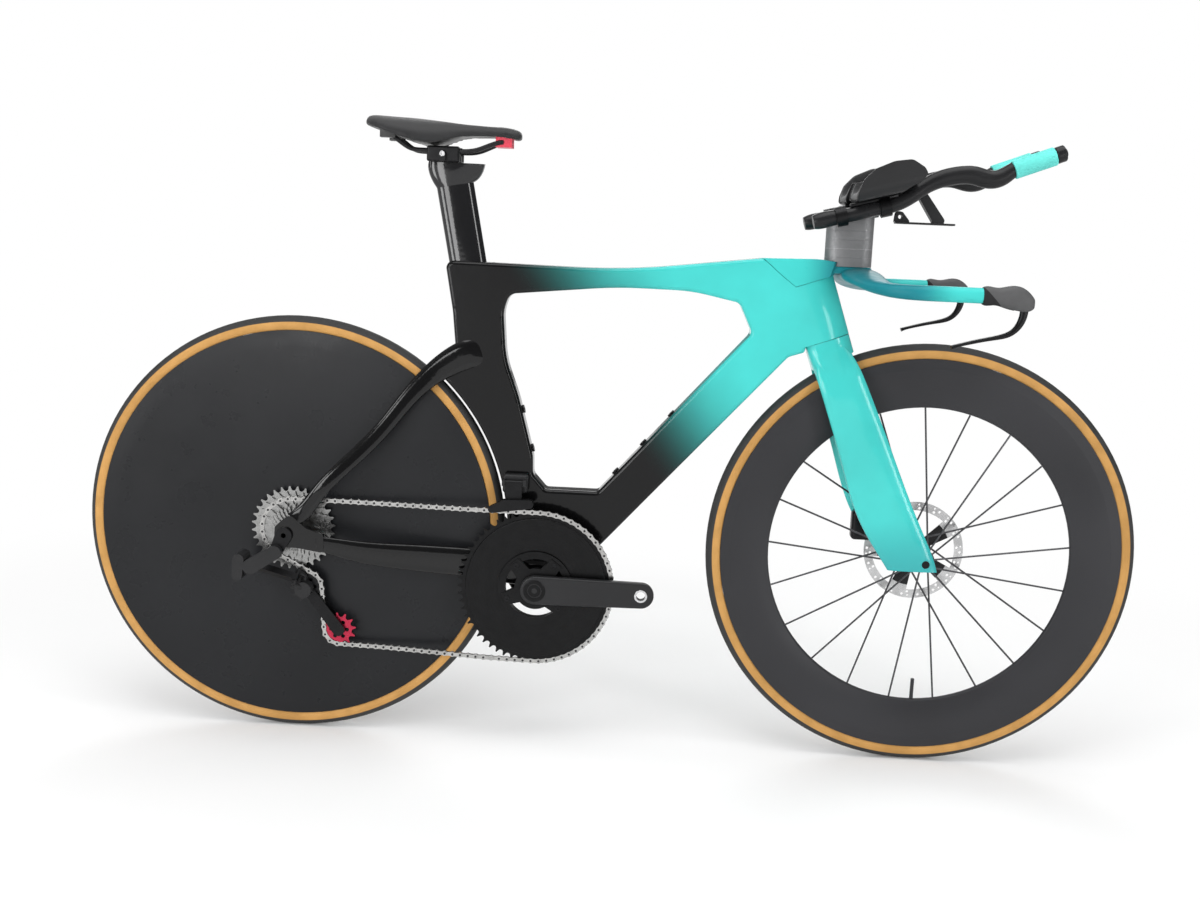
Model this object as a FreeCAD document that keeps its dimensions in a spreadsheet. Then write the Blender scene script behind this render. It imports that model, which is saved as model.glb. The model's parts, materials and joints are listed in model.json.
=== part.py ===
import FreeCAD
import Part
import math
import os
import Sketcher

Vec = FreeCAD.Vector
doc = FreeCAD.newDocument("time_trial_bike")

# Driving sizes in millimetres and degrees. X points forward, Y to the left, Z up; the ground is Z = 0.
SIZES = [
    ("wheelbase", 1002), ("tyre_radius", 339), ("tyre_width", 28), ("tyre_wall", 2.6), ("rim_radius", 316),
    ("rim_depth", 80), ("rim_width", 27), ("shell_wall", 2.2), ("bb_drop", 72), ("chainstay_run", 395),
    ("head_angle", 71), ("fork_rake", 49), ("axle_to_crown", 375), ("head_length", 93),
    ("seat_lean", 11), ("seat_setback", 128), ("seat_height", 775), ("post_chord", 58), ("post_width", 24),
    ("post_rise", 129), ("top_tube_sag", 15), ("edge_radius", 10), ("head_width", 52), ("tube_width", 39),
    ("seat_tube_width", 35), ("shell_radius", 30), ("shell_width", 86), ("axle_radius", 6),
    ("front_width", 100), ("rear_width", 142), ("rotor_radius", 80), ("rotor_thick", 1.8),
    ("crank_length", 167.5), ("crank_thick", 13), ("crank_offset", 57), ("pedal_hole", 7.14),
    ("spindle_radius", 14.5), ("ring_teeth", 60), ("inner_teeth", 46), ("cog_teeth", 24),
    ("pulley_teeth", 12), ("chain_pitch", 12.7), ("roller_radius", 3.85), ("ring_line", 48),
    ("cog_line", 25), ("cog_step", 3.58), ("cage_length", 87), ("spokes", 21), ("steerer_radius", 14.3),
    ("bar_half", 190), ("bar_height", 761), ("bar_reach", 519), ("bar_radius", 11), ("riser_height", 68),
    ("extension_half", 60), ("extension_slope", 14.5), ("boss_hole", 2.5), ("boss_pitch", 64), ("saddle_half", 67),
]

sheet = doc.addObject("Spreadsheet::Sheet", "Sizes")
for row, (alias, value) in enumerate(SIZES, 1):
    sheet.set("A%d" % row, alias)
    sheet.set("B%d" % row, str(value))
    sheet.setAlias("B%d" % row, alias)
doc.recompute()


class Size:
    """A number together with the sheet expression that gives it."""

    def __init__(self, value, text):
        self.value = value
        self.text = text

    def _join(self, other, sign, value):
        return Size(value, "(%s %s %s)" % (self.text, sign, as_size(other).text))

    def __add__(self, other):
        return self._join(other, "+", self.value + as_size(other).value)

    def __sub__(self, other):
        return self._join(other, "-", self.value - as_size(other).value)

    def __mul__(self, other):
        return self._join(other, "*", self.value * as_size(other).value)

    def __truediv__(self, other):
        return self._join(other, "/", self.value / as_size(other).value)

    def __neg__(self):
        return Size(-self.value, "(0 - %s)" % self.text)


def as_size(thing):
    return thing if isinstance(thing, Size) else Size(float(thing), "(%r)" % float(thing))


def cell(alias):
    return Size(float(sheet.get(alias)), "Sizes.%s" % alias)


def num(alias):
    return float(sheet.get(alias))


def bind(thing, prop, amount):
    amount = as_size(amount)
    thing.setExpression(prop, amount.text)


def place(thing, x, y, z, rotation=None):
    if rotation:
        thing.Placement = FreeCAD.Placement(Vec(0, 0, 0), rotation)
    for axis, amount in zip("xyz", (x, y, z)):
        bind(thing, "Placement.Base.%s" % axis, amount)


# Datums of the side view, from the driving sizes.
UP_Y = Vec(0, 1, 0)
half_base = num("wheelbase") / 2
wheel_z = num("tyre_radius")
rear_axle = Vec(-half_base, 0, wheel_z)
front_axle = Vec(half_base, 0, wheel_z)
bracket = Vec(-half_base + num("chainstay_run"), 0, wheel_z - num("bb_drop"))
head_tilt = math.radians(num("head_angle"))
steer_up = Vec(-math.cos(head_tilt), 0, math.sin(head_tilt))
steer_out = Vec(math.sin(head_tilt), 0, math.cos(head_tilt))
crown = front_axle - steer_out * num("fork_rake") + steer_up * num("axle_to_crown")
seat_tilt = math.radians(num("seat_lean"))
seat_up = Vec(-math.sin(seat_tilt), 0, math.cos(seat_tilt))
seat_out = Vec(math.cos(seat_tilt), 0, math.sin(seat_tilt))
seat_top = Vec(bracket.x - num("seat_setback"), 0, num("seat_height"))
rear_x = -cell("wheelbase") / 2
front_x = cell("wheelbase") / 2
axle_z = cell("tyre_radius")
bb_x = rear_x + cell("chainstay_run")
bb_z = cell("tyre_radius") - cell("bb_drop")
TO_Y = FreeCAD.Rotation(Vec(1, 0, 0), 90)


def head(u, s, y=0.0):
    """Point u ahead of the steering axis and s above the crown seam."""
    return crown + steer_out * u + steer_up * s + Vec(0, y, 0)


def seat(u, s, y=0.0):
    return seat_top + seat_out * u + seat_up * s + Vec(0, y, 0)


def flat(vector):
    return vector.x, vector.z


nodes = []


def keep(label, thing):
    thing.Label = label
    nodes.append((label, thing))
    return thing


def feature(label, shape):
    thing = doc.addObject("Part::Feature", label)
    thing.Shape = shape
    return keep(label, thing)


# Shape helpers.
def cylinder(radius, start, end):
    return Part.makeCylinder(radius, (end - start).Length, start, end - start)


def tube(outer, inner, start, end):
    return cylinder(outer, start, end).cut(cylinder(inner, start, end))


def block(low, high):
    return Part.makeBox(high.x - low.x, high.y - low.y, high.z - low.z, low)


def mirrored(shape):
    return shape.mirror(Vec(0, 0, 0), UP_Y)


def fused(shapes):
    return shapes[0].multiFuse(shapes[1:]).removeSplitter() if len(shapes) > 1 else shapes[0]


def rounded(points, y=0.0):
    """Closed wire in the side view through (x, z, radius) corners, each rounded by an arc."""
    corners = []
    count = len(points)
    for i, (x, z, radius) in enumerate(points):
        here = Vec(x, y, z)
        before = Vec(points[i - 1][0], y, points[i - 1][1])
        after = Vec(points[(i + 1) % count][0], y, points[(i + 1) % count][1])
        back = (before - here).normalize()
        ahead = (after - here).normalize()
        if radius <= 0:
            corners.append((here, None, here))
            continue
        half = back.getAngle(ahead) / 2
        reach = radius / math.tan(half)
        middle = here + (back + ahead).normalize() * (radius / math.sin(half))
        bulge = middle + (here - middle).normalize() * radius
        corners.append((here + back * reach, bulge, here + ahead * reach))
    edges = []
    for i, (first, bulge, last) in enumerate(corners):
        if bulge is not None:
            edges.append(Part.Arc(first, bulge, last).toShape())
        following = corners[(i + 1) % count][0]
        if (following - last).Length > 1e-6:
            edges.append(Part.makeLine(last, following))
    return Part.Wire(edges)


def slab(points, low, high):
    """Side outline carried from y = low to y = high."""
    return Part.Face(rounded(points, low)).extrude(Vec(0, high - low, 0))


def smooth_loop(points):
    """Closed smooth wire through points, evenly parametrised so that sections match each other."""
    curve = Part.BSplineCurve()
    steps = [i / len(points) for i in range(len(points) + 1)]
    curve.interpolate(Points=points, PeriodicFlag=True, Parameters=steps)
    return Part.Wire(curve.toShape())


def oval(centre, along, across, length, width, nose=2.0, tail=2.0, count=24):
    """Closed smooth section; nose and tail set how boxy each end is."""
    points = []
    for i in range(count):
        turn = 2 * math.pi * i / count
        c, s = math.cos(turn), math.sin(turn)
        power = 2.0 / (nose if c > 0 else tail)
        a = math.copysign(abs(c) ** power, c) * length / 2
        b = math.copysign(abs(s) ** power, s) * width / 2
        points.append(centre + along * a + across * b)
    return smooth_loop(points)


def loft(wires, ruled=False):
    return Part.makeLoft(wires, True, ruled)


def pipe(points, radius):
    curve = Part.BSplineCurve()
    curve.interpolate(points)
    spine = Part.Wire(curve.toShape())
    start = curve.tangent(curve.FirstParameter)[0]
    ring = Part.Wire(Part.makeCircle(radius, points[0], start))
    return spine.makePipeShell([ring], True, True)


def softened(shape, edges, radii):
    """Rounds the edges with the first radius that gives a valid solid."""
    for radius in radii:
        try:
            result = shape.makeFillet(radius, edges)
        except Exception:
            continue
        if result.isValid() and result.Volume > 0:
            return result
    return shape


def hollowed(shape, tool):
    """Cuts a close-fitting hollow, widening the tolerance until one clean solid is left."""
    for slack in (0.01, 0.0, 0.03, 0.08):
        try:
            result = shape.cut([tool], slack)
        except Exception:
            continue
        share = result.Volume / shape.Volume
        if result.isValid() and len(result.Solids) == 1 and 0.1 < share < 0.9:
            return result
    return shape


def softblock(low, high, radius):
    shape = block(low, high)
    return softened(shape, shape.Edges, [radius, radius / 2])


def link_outline(start, end, first, second):
    """Side outline of a flat bar between two round ends."""
    way = end - start
    along = way.normalize() if way.Length else Vec(1, 0, 0)
    side = Vec(-along.z, 0, along.x)
    lean = (first - second) / (end - start).Length
    rise = math.sqrt(1 - lean * lean)
    top = along * lean + side * rise
    low = along * lean - side * rise
    return Part.Wire([
        Part.Arc(start + low * first, start - along * first, start + top * first).toShape(),
        Part.makeLine(start + top * first, end + top * second),
        Part.Arc(end + top * second, end + along * second, end + low * second).toShape(),
        Part.makeLine(end + low * second, start + low * first),
    ])


def bar_plate(start, end, first, second, low, high):
    wire = link_outline(Vec(start.x, low, start.z), Vec(end.x, low, end.z), first, second)
    return Part.Face(wire).extrude(Vec(0, high - low, 0))


# Sketched bodies.
def plane(owner, role):
    return [item for item in owner.Origin.OriginFeatures if item.Role == role][0]


def new_body(label):
    owner = doc.addObject("PartDesign::Body", label)
    return owner


def outline(owner, role, points, name):
    """Closed sketch through (x, y) points; a third number bows the side that leaves the point to that radius."""
    sketch = owner.newObject("Sketcher::SketchObject", name)
    sketch.AttachmentSupport = [(plane(owner, role), "")]
    sketch.MapMode = "FlatFace"
    count = len(points)
    spots = [(as_size(p[0]), as_size(p[1])) for p in points]
    ends = []
    for i, point in enumerate(points):
        a = Vec(spots[i][0].value, spots[i][1].value, 0)
        b = Vec(spots[(i + 1) % count][0].value, spots[(i + 1) % count][1].value, 0)
        if len(point) < 3:
            sketch.addGeometry(Part.LineSegment(a, b), False)
            ends.append((1, 2))
            continue
        radius = as_size(point[2]).value
        middle = (a + b) * 0.5
        half = (b - a).Length / 2
        side = Vec(-(b - a).y, (b - a).x, 0).normalize()
        centre = middle + side * math.copysign(math.sqrt(max(radius * radius - half * half, 0)), radius)
        first = math.atan2(a.y - centre.y, a.x - centre.x)
        last = math.atan2(b.y - centre.y, b.x - centre.x)
        circle = Part.Circle(centre, Vec(0, 0, 1), abs(radius))
        if radius > 0:
            sketch.addGeometry(Part.ArcOfCircle(circle, first, last), False)
            ends.append((1, 2))
        else:
            sketch.addGeometry(Part.ArcOfCircle(circle, last, first), False)
            ends.append((2, 1))
    for i in range(count):
        after = (i + 1) % count
        sketch.addConstraint(Sketcher.Constraint("Coincident", i, ends[i][1], after, ends[after][0]))
    for i in range(count):
        for kind, spot, axis in (("DistanceX", spots[i][0], -2), ("DistanceY", spots[i][1], -1)):
            if abs(spot.value) < 1e-9:
                sketch.addConstraint(Sketcher.Constraint("PointOnObject", i, ends[i][0], axis))
                continue
            where = sketch.addConstraint(Sketcher.Constraint(kind, -1, 1, i, ends[i][0], spot.value))
            sketch.setExpression("Constraints[%d]" % where, spot.text)
    for i, point in enumerate(points):
        if len(point) > 2:
            radius = as_size(point[2])
            where = sketch.addConstraint(Sketcher.Constraint("Radius", i, abs(radius.value)))
            text = radius.text if radius.value > 0 else "(0 - %s)" % radius.text
            sketch.setExpression("Constraints[%d]" % where, text)
    return sketch


def circles(owner, role, rounds, name):
    """Sketch of circles (x, y, radius)."""
    sketch = owner.newObject("Sketcher::SketchObject", name)
    sketch.AttachmentSupport = [(plane(owner, role), "")]
    sketch.MapMode = "FlatFace"
    for i, (x, y, radius) in enumerate(rounds):
        x, y, radius = as_size(x), as_size(y), as_size(radius)
        sketch.addGeometry(Part.Circle(Vec(x.value, y.value, 0), Vec(0, 0, 1), radius.value), False)
        for kind, spot, axis in (("DistanceX", x, -2), ("DistanceY", y, -1)):
            if abs(spot.value) < 1e-9:
                sketch.addConstraint(Sketcher.Constraint("PointOnObject", i, 3, axis))
                continue
            where = sketch.addConstraint(Sketcher.Constraint(kind, -1, 1, i, 3, spot.value))
            sketch.setExpression("Constraints[%d]" % where, spot.text)
        where = sketch.addConstraint(Sketcher.Constraint("Radius", i, radius.value))
        sketch.setExpression("Constraints[%d]" % where, radius.text)
    return sketch


def turned(label, points, hollow=None):
    """Body turned about the Y axis from (radius, y) points, with an optional closed hollow."""
    owner = new_body(label)
    sketch = outline(owner, "XY_Plane", points, label + "_profile")
    doc.recompute()
    solid = owner.newObject("PartDesign::Revolution", label + "_turn")
    solid.Profile = sketch
    solid.ReferenceAxis = (sketch, ["V_Axis"])
    solid.Angle = 360
    doc.recompute()
    if hollow:
        inner = outline(owner, "XY_Plane", hollow, label + "_hollow")
        doc.recompute()
        groove = owner.newObject("PartDesign::Groove", label + "_core")
        groove.Profile = inner
        groove.ReferenceAxis = (inner, ["V_Axis"])
        groove.Angle = 360
        doc.recompute()
    return owner


def padded(owner, sketch, length, name, backward=False):
    pad = owner.newObject("PartDesign::Pad", name)
    pad.Profile = sketch
    bind(pad, "Length", length)
    pad.Reversed = backward
    doc.recompute()
    return pad


def pocketed(owner, sketch, name, repeats=None):
    """Cut right through both ways, repeated about the sketch's own normal if asked."""
    pocket = owner.newObject("PartDesign::Pocket", name)
    pocket.Profile = sketch
    pocket.Type = 1
    pocket.Midplane = True
    doc.recompute()
    if repeats:
        pattern = owner.newObject("PartDesign::PolarPattern", name + "_around")
        pattern.Originals = [pocket]
        pattern.Axis = (sketch, ["N_Axis"])
        pattern.Angle = 360
        bind(pattern, "Occurrences", repeats)
        doc.recompute()
        owner.Tip = pattern
        doc.recompute()
    return pocket


# Wheels.
def tyre(label, x):
    ring = cell("tyre_radius") - cell("tyre_width") / 2
    outer = doc.addObject("Part::Torus", label + "_outside")
    inner = doc.addObject("Part::Torus", label + "_inside")
    bore = doc.addObject("Part::Cylinder", label + "_bore")
    bind(outer, "Radius1", ring)
    bind(inner, "Radius1", ring)
    bind(outer, "Radius2", cell("tyre_width") / 2)
    bind(inner, "Radius2", cell("tyre_width") / 2 - cell("tyre_wall"))
    bind(bore, "Radius", cell("rim_radius") + 0.2)
    bind(bore, "Height", cell("tyre_width") * 2)
    bind(bore, "Placement.Base.z", -cell("tyre_width"))
    casing = doc.addObject("Part::Cut", label + "_casing")
    casing.Base = outer
    casing.Tool = inner
    whole = doc.addObject("Part::Cut", label)
    whole.Base = casing
    whole.Tool = bore
    place(whole, x, 0, axle_z, TO_Y)
    return keep(label, whole)


tyre("front_tyre", front_x)
tyre("rear_tyre", rear_x)

rim_out = cell("rim_radius")
rim_in = cell("rim_radius") - cell("rim_depth")
rim_half = cell("rim_width") / 2
wall = cell("shell_wall")
rim_body = turned("front_rim_hoop", [
    (rim_out, -rim_half + 0.8), (rim_out, -rim_half + 4.0), (rim_out - 7, -rim_half + 4.0),
    (rim_out - 7, rim_half - 4.0), (rim_out, rim_half - 4.0), (rim_out, rim_half - 0.8),
    (rim_out - 16, rim_half, cell("rim_depth") * 2.1),
    (rim_in + 5, 5, 6.2), (rim_in + 5, -5, cell("rim_depth") * 2.1), (rim_out - 16, -rim_half),
], [
    (rim_out - 10, -rim_half + 3.2), (rim_out - 10, rim_half - 3.2),
    (rim_out - 17, rim_half - wall), (rim_in + 12, 4), (rim_in + 12, -4), (rim_out - 17, -rim_half + wall),
])
valve = doc.addObject("Part::Cylinder", "front_valve")
bind(valve, "Radius", 3.0)
bind(valve, "Height", 33)
bind(valve, "Placement.Base.x", 8)
bind(valve, "Placement.Base.z", -rim_in - 2.1)
rim = doc.addObject("Part::Compound", "front_rim")
rim.Links = [rim_body, valve]
place(rim, front_x, 0, axle_z)
keep("front_rim", rim)

disc = turned("rear_disc", [
    (rim_out, -rim_half + 0.8), (rim_out, -rim_half + 4.0), (rim_out - 7, -rim_half + 4.0),
    (rim_out - 7, rim_half - 4.0), (rim_out, rim_half - 4.0), (rim_out, rim_half - 0.8),
    (rim_out - 16, rim_half), (rim_out - 24, rim_half + 0.3, 2600), (30, 30),
    (30, -16, 12000), (rim_out - 24, -rim_half - 0.3), (rim_out - 16, -rim_half),
], [
    (rim_out - 10, -rim_half + 3.2), (rim_out - 10, rim_half - 3.2), (rim_out - 26, rim_half - wall),
    (34, 26.5), (34, -13), (rim_out - 26, -rim_half + wall),
])
place(disc, rear_x, 0, axle_z)
keep("rear_disc", disc)

bore = cell("axle_radius") + 0.1
rotor_half = cell("rotor_thick") / 2
front_half = cell("front_width") / 2 - 0.3
hub = turned("front_hub", [
    (bore, -front_half), (9.5, -front_half), (9.5, -front_half + 6), (14, -front_half + 8),
    (14, -36), (19, -35), (19, -29), (12, -24), (11, 0), (13, 14), (24, 18), (24, 25), (17, 28),
    (17, 34.8), (20, 35), (20, -rotor_half + 37.8), (17, -rotor_half + 37.8), (17, rotor_half + 38.2),
    (20, rotor_half + 38.2), (20, rotor_half + 40.2), (12, rotor_half + 40.4), (9.5, front_half - 4),
    (9.5, front_half), (bore, front_half),
])
place(hub, front_x, 0, axle_z)
keep("front_hub", hub)

rear_half = cell("rear_width") / 2 - 0.3
hub = turned("rear_hub", [
    (bore, -rear_half), (8.6, -rear_half), (8.6, -21), (29.7, -20), (29.7, 33), (17, 36), (17, 52.2),
    (20, 52.4), (20, -rotor_half + 55.3), (17, -rotor_half + 55.3), (17, rotor_half + 55.7),
    (20, rotor_half + 55.7),
    (20, rotor_half + 57.6), (12, rotor_half + 57.8), (9.5, rear_half - 5), (9.5, rear_half), (bore, rear_half),
])
place(hub, rear_x, 0, axle_z)
keep("rear_hub", hub)


def rotor(label, x, y):
    """Brake disc with a drilled track and an open carrier."""
    owner = new_body(label)
    base = circles(owner, "XZ_Plane", [(0, 0, cell("rotor_radius")), (0, 0, 17.2)], label + "_blank")
    padded(owner, base, cell("rotor_thick"), label + "_plate")
    track = cell("rotor_radius") - 16
    window = outline(owner, "XZ_Plane", [
        (27, -9), (track - 3, -track * 0.42, track * 1.2), (track - 3, track * 0.42), (27, 9),
    ], label + "_window")
    pocketed(owner, window, label + "_windows", 5)
    holes = circles(owner, "XZ_Plane", [
        (cell("rotor_radius") - 5, 0, 2.2), (cell("rotor_radius") - 10.5, 7.5, 2.2),
        (cell("rotor_radius") - 4.5, 9.5, 1.6),
    ], label + "_hole")
    pocketed(owner, holes, label + "_holes", 18)
    place(owner, x, y, axle_z)
    return keep(label, owner)


rotor("front_rotor", front_x, cell("rotor_thick") / 2 + 38)
rotor("rear_rotor", rear_x, cell("rotor_thick") / 2 + 55.5)

doc.recompute()
front_hub_room = doc.getObject("front_hub").Shape
SPOKE_SECTION = [(-1.5, 0), (-0.9, 0.65), (0.9, 0.65), (1.5, 0), (0.9, -0.65), (-0.9, -0.65)]
spoke_shapes = []
for i in range(int(num("spokes"))):
    turn = 2 * math.pi * (i + 0.35) / num("spokes")
    left = i % 3 != 0
    twist = 0.0 if not left else (1.15 if i % 3 == 1 else -1.15)
    flange = 21.0 if left else 17.0
    foot_y = -32.0 if not left else (23.4 if twist > 0 else 19.6)
    inner = Vec(flange * math.cos(turn + twist), foot_y, flange * math.sin(turn + twist))
    outer = Vec(math.cos(turn), 0, math.sin(turn)) * (rim_in.value + 2.2)
    way = (outer - inner).normalize()
    side = way.cross(UP_Y).normalize()
    depth = way.cross(side)
    length = (outer - inner).Length
    blade_points = [front_axle + inner + side * a + depth * b for a, b in SPOKE_SECTION]
    section = Part.makePolygon(blade_points + blade_points[:1])
    spoke = Part.Face(Part.Wire(section)).extrude(way * length).cut(front_hub_room)
    spoke_shapes.append(max(spoke.Solids, key=lambda solid: solid.Volume))
feature("front_spokes", Part.makeCompound(spoke_shapes))

# Through axles.
axle = turned("front_through_axle", [
    (0, -62), (cell("axle_radius"), -62), (cell("axle_radius"), 62.5), (9, 62.8), (9, 66), (3, 66), (3, 60),
    (0, 60),
])
place(axle, front_x, 0, axle_z)
keep("front_through_axle", axle)
axle = turned("rear_through_axle", [
    (4, -84), (cell("axle_radius"), -84), (cell("axle_radius"), 79.3), (9.5, 79.6), (9.5, 83.5), (4, 83.5),
])
place(axle, rear_x, 0, axle_z)
keep("rear_through_axle", axle)


# Frame: one side outline carried sideways and trimmed by a plan that rounds the head and narrows rearward.
def plan_prism(widths, low, high):
    side_points = [head(u, low, -w) for u, w in widths]
    other = [head(u, low, w) for u, w in reversed(widths[:-1])]
    curve = Part.BSplineCurve()
    curve.interpolate(side_points + other)
    rim_wire = Part.Wire([curve.toShape(), Part.makeLine(other[-1], side_points[0])])
    return Part.Face(rim_wire).extrude(steer_up * (high - low))


head_half = num("head_width") / 2
tube_half = num("tube_width") / 2
seat_half = num("seat_tube_width") / 2
frame_plan = [
    (-720, seat_half - 1), (-560, seat_half), (-430, seat_half + 0.6), (-300, tube_half), (-190, tube_half + 2.4),
    (-90, head_half - 1.6), (-30, head_half), (0, head_half - 0.8), (18, head_half - 6.5), (29, head_half - 14.5),
    (35, 0),
]


def off(point, dx, dz, radius=0.0):
    return point.x + dx, point.z + dz, radius


def on_head(u, s, radius=0.0):
    spot = head(u, s)
    return spot.x, spot.z, radius


middle_top = (seat_top + Vec(33, 0, 0) + crown + Vec(-108, 0, 121)) * 0.5
side_outline = [
    off(seat_top, -34, 0, 12), (middle_top.x, middle_top.z - num("top_tube_sag"), 1100), off(crown, -60, 127),
    on_head(70, 150), on_head(70, 0), on_head(-36, 0), off(crown, -36, -21, 6), off(crown, -60, -29, 16),
    off(bracket, 13, -31, 30), off(bracket, -31, -31, 26), off(bracket, -75, 40), off(rear_axle, 228, 236),
    off(seat_top, -14, -138, 22), off(seat_top, -20, -78, 160),
]
hole_outline = [
    off(seat_top, 69, -48, 16), off(crown, -330, 67, 700), off(crown, -215, 66, 260), off(crown, -140, 51, 14),
    off(crown, -118, 5, 12), off(bracket, 91, 153, 9), off(bracket, 8, 153, 9), off(bracket, -13, 176, 16),
    off(bracket, -14, 205, 30), off(bracket, -40, 300, 200), off(seat_top, 66, -150, 160),
    off(seat_top, 60, -74, 60),
]
tyre_gap = num("tyre_radius") + 5
side_face = Part.Face(rounded(side_outline, -70)).cut(Part.Face(rounded(hole_outline, -70)))
wheel_disc = Part.Face(Part.Wire(Part.makeCircle(tyre_gap, rear_axle + Vec(0, -70, 0), UP_Y)))
side_face = side_face.cut(wheel_disc)
core = side_face.extrude(Vec(0, 140, 0)).common(plan_prism(frame_plan, -540, 340))
core = core.Solids[0]


def seam_cone(gap):
    """Turned room for the stem above the head tube, so the bar can steer inside it."""
    base = num("head_length") + gap
    low = 37.6 - gap
    return Part.makeCone(low, low + 130 * 0.535, 130, head(0, base), steer_up)


core = core.cut(seam_cone(0)).Solids[0]


def seam_edge(edge):
    """Edges of the crown seam and the stem seam stay sharp."""
    spots = [edge.valueAt(edge.FirstParameter), edge.valueAt((edge.FirstParameter + edge.LastParameter) / 2)]
    for spot in spots:
        s = (spot - crown).dot(steer_up)
        u = (spot - crown).dot(steer_out)
        radius = math.hypot(u, spot.y)
        if abs(s) < 0.5 and u > -40:
            continue
        if s > num("head_length") - 1 and abs(radius - 37.6 - (s - num("head_length")) * 0.535) < 0.8:
            continue
        return False
    return True


soft_edges = []
for edge in core.Edges:
    spot = edge.valueAt((edge.FirstParameter + edge.LastParameter) / 2)
    if abs(spot.y) > 4 and not seam_edge(edge):
        soft_edges.append(edge)
edge_radius = num("edge_radius")
core = softened(core, soft_edges, [edge_radius * share for share in (1, 0.8, 0.6, 0.4)])

shell_half = num("shell_width") / 2
drum = cylinder(num("shell_radius"), bracket + Vec(0, -shell_half, 0), bracket + Vec(0, shell_half, 0))
drum = softened(drum, [e for e in drum.Edges if e.Closed], [3])
core = core.fuse(drum)
shell_bore = cylinder(21, bracket + Vec(0, -60, 0), bracket + Vec(0, 60, 0))
core = core.cut(shell_bore)
core = core.cut(cylinder(num("steerer_radius") + 1.7, head(0, -20), head(0, 200)))
core = core.cut(cylinder(42, head(0, -40), head(0, 0)))
for low, high in ((-1, 8), (num("head_length") - 8, num("head_length") + 2)):
    core = core.cut(cylinder(20.9, head(0, low), head(0, high)))


def post_section(gap, s):
    chord = num("post_chord") + 2 * gap
    return oval(seat(0, s), seat_out, UP_Y, chord, num("post_width") + 2 * gap, 2.2, 3.0)


post_room = Part.Face(post_section(0.2, -130)).extrude(seat_up * 190)
clamp_room = cylinder(4.7, seat(num("post_chord") / 2 + 8, -34), seat(num("post_chord") / 2 + 8, 40))
core = core.cut(post_room).cut(clamp_room)


# Bottle bosses: threaded inserts set into the tubes.
def edge_spot(start, end, fraction):
    return start + (end - start) * fraction


def side_point(corner):
    return Vec(corner[0], 0, corner[1])


down_low = side_point(hole_outline[5])
down_high = side_point(hole_outline[4])
down_way = (down_high - down_low).normalize()
down_out = Vec(-down_way.z, 0, down_way.x)
tube_low = side_point(hole_outline[8])
tube_high = side_point(hole_outline[9])
tube_way = (tube_high - tube_low).normalize()
tube_out = Vec(tube_way.z, 0, -tube_way.x)
pitch = num("boss_pitch")
boss_spots = [(down_low + down_way * (42 + pitch * k), down_out) for k in range(3)]
boss_spots += [(tube_low + tube_way * (12 + pitch * k), tube_out) for k in range(2)]
boss_shapes = []
for spot, out in boss_spots:
    insert = cylinder(4.2, spot - out * 13, spot + out * 0.4)
    insert = insert.fuse(cylinder(6.5, spot + out * 0.4, spot + out * 3.2))
    room = cylinder(4.3, spot - out * 13.2, spot + out * 8)
    room = room.fuse(cylinder(6.8, spot + out * 0.2, spot + out * 8))
    boss_shapes.append(insert.cut(cylinder(num("boss_hole"), spot - out * 11, spot + out * 5)))
    core = core.cut(room)
core = max(core.Solids, key=lambda solid: solid.Volume)
feature("bottle_bosses", Part.makeCompound(boss_shapes))

# Stays, each lofted through sections and trimmed to the main frame.
ACROSS = Vec(0, 1, 0)
UPWARD = Vec(0, 0, 1)
dropout_in = num("rear_width") / 2
stay_pieces = []
chain_sections = [(22, 27, 18, 16, 48), (-40, 28.5, 23, 14.5, 48), (-80, 30, 28, 14.5, 47),
                  (-113, 33, 32, 14.5, 46), (-150, 40, 35, 14, 45), (-200, 49, 39, 13, 42),
                  (-245, 60, 43.5, 12, 38), (-300, 70, 52, 10, 31), (-345, 75, 60, 9, 23)]
stay_wires = []
for dx, y, dz, wide, tall in chain_sections:
    stay_wires.append(oval(bracket + Vec(dx, y, dz), UPWARD, ACROSS, tall, wide, 3.0, 3.0))
stay = loft(stay_wires)
dropout = slab([
    off(rear_axle, -16, -8, 7), off(rear_axle, -15, 13, 9), off(rear_axle, 8, 34, 10),
    off(rear_axle, 34, 12, 12), off(rear_axle, 62, 3, 4), off(rear_axle, 62, -26, 5),
    off(rear_axle, 20, -20, 18), off(rear_axle, -8, -20, 8),
], dropout_in, dropout_in + 8)
stay = fused([stay, dropout])
axle_hole = cylinder(num("axle_radius") + 0.1, rear_axle + Vec(0, -120, 0), rear_axle + Vec(0, 120, 0))
stay = stay.cut(axle_hole)
tyre_room = cylinder(tyre_gap, rear_axle + Vec(0, -19, 0), rear_axle + Vec(0, 19, 0))
left_chain_stay = stay.cut(tyre_room).cut(core)
right_chain_stay = mirrored(max(left_chain_stay.Solids, key=lambda solid: solid.Volume))
brake_seat = softblock(rear_axle + Vec(54, 60, -16), rear_axle + Vec(96, 73, 9.7), 3)
left_chain_stay = max(left_chain_stay.Solids, key=lambda solid: solid.Volume).fuse(brake_seat).Solids[0]
seat_sections = [(300, 8, 296, 15, 44, -0.3), (258, 15, 284, 16, 45, -0.52), (222, 19.5, 260, 13, 36, -0.72),
                 (188, 28, 226, 10.5, 28, -0.86), (146, 40, 171, 10, 25, -0.85),
                 (96, 56, 117, 10, 24, -0.85), (48, 69, 64, 10, 24, -0.83), (14, 75.2, 26, 7.6, 24, -0.83)]
stay_wires = []
for dx, y, dz, wide, deep, lean in seat_sections:
    upright = Vec(math.sin(lean), 0, math.cos(lean))
    stay_wires.append(oval(rear_axle + Vec(dx, y, dz), upright, ACROSS, deep, wide, 2.6, 2.6))
seat_stay = loft(stay_wires).cut(tyre_room).cut(left_chain_stay).cut(core).cut(axle_hole)
seat_stay = max(seat_stay.Solids, key=lambda solid: solid.Volume)
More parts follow.
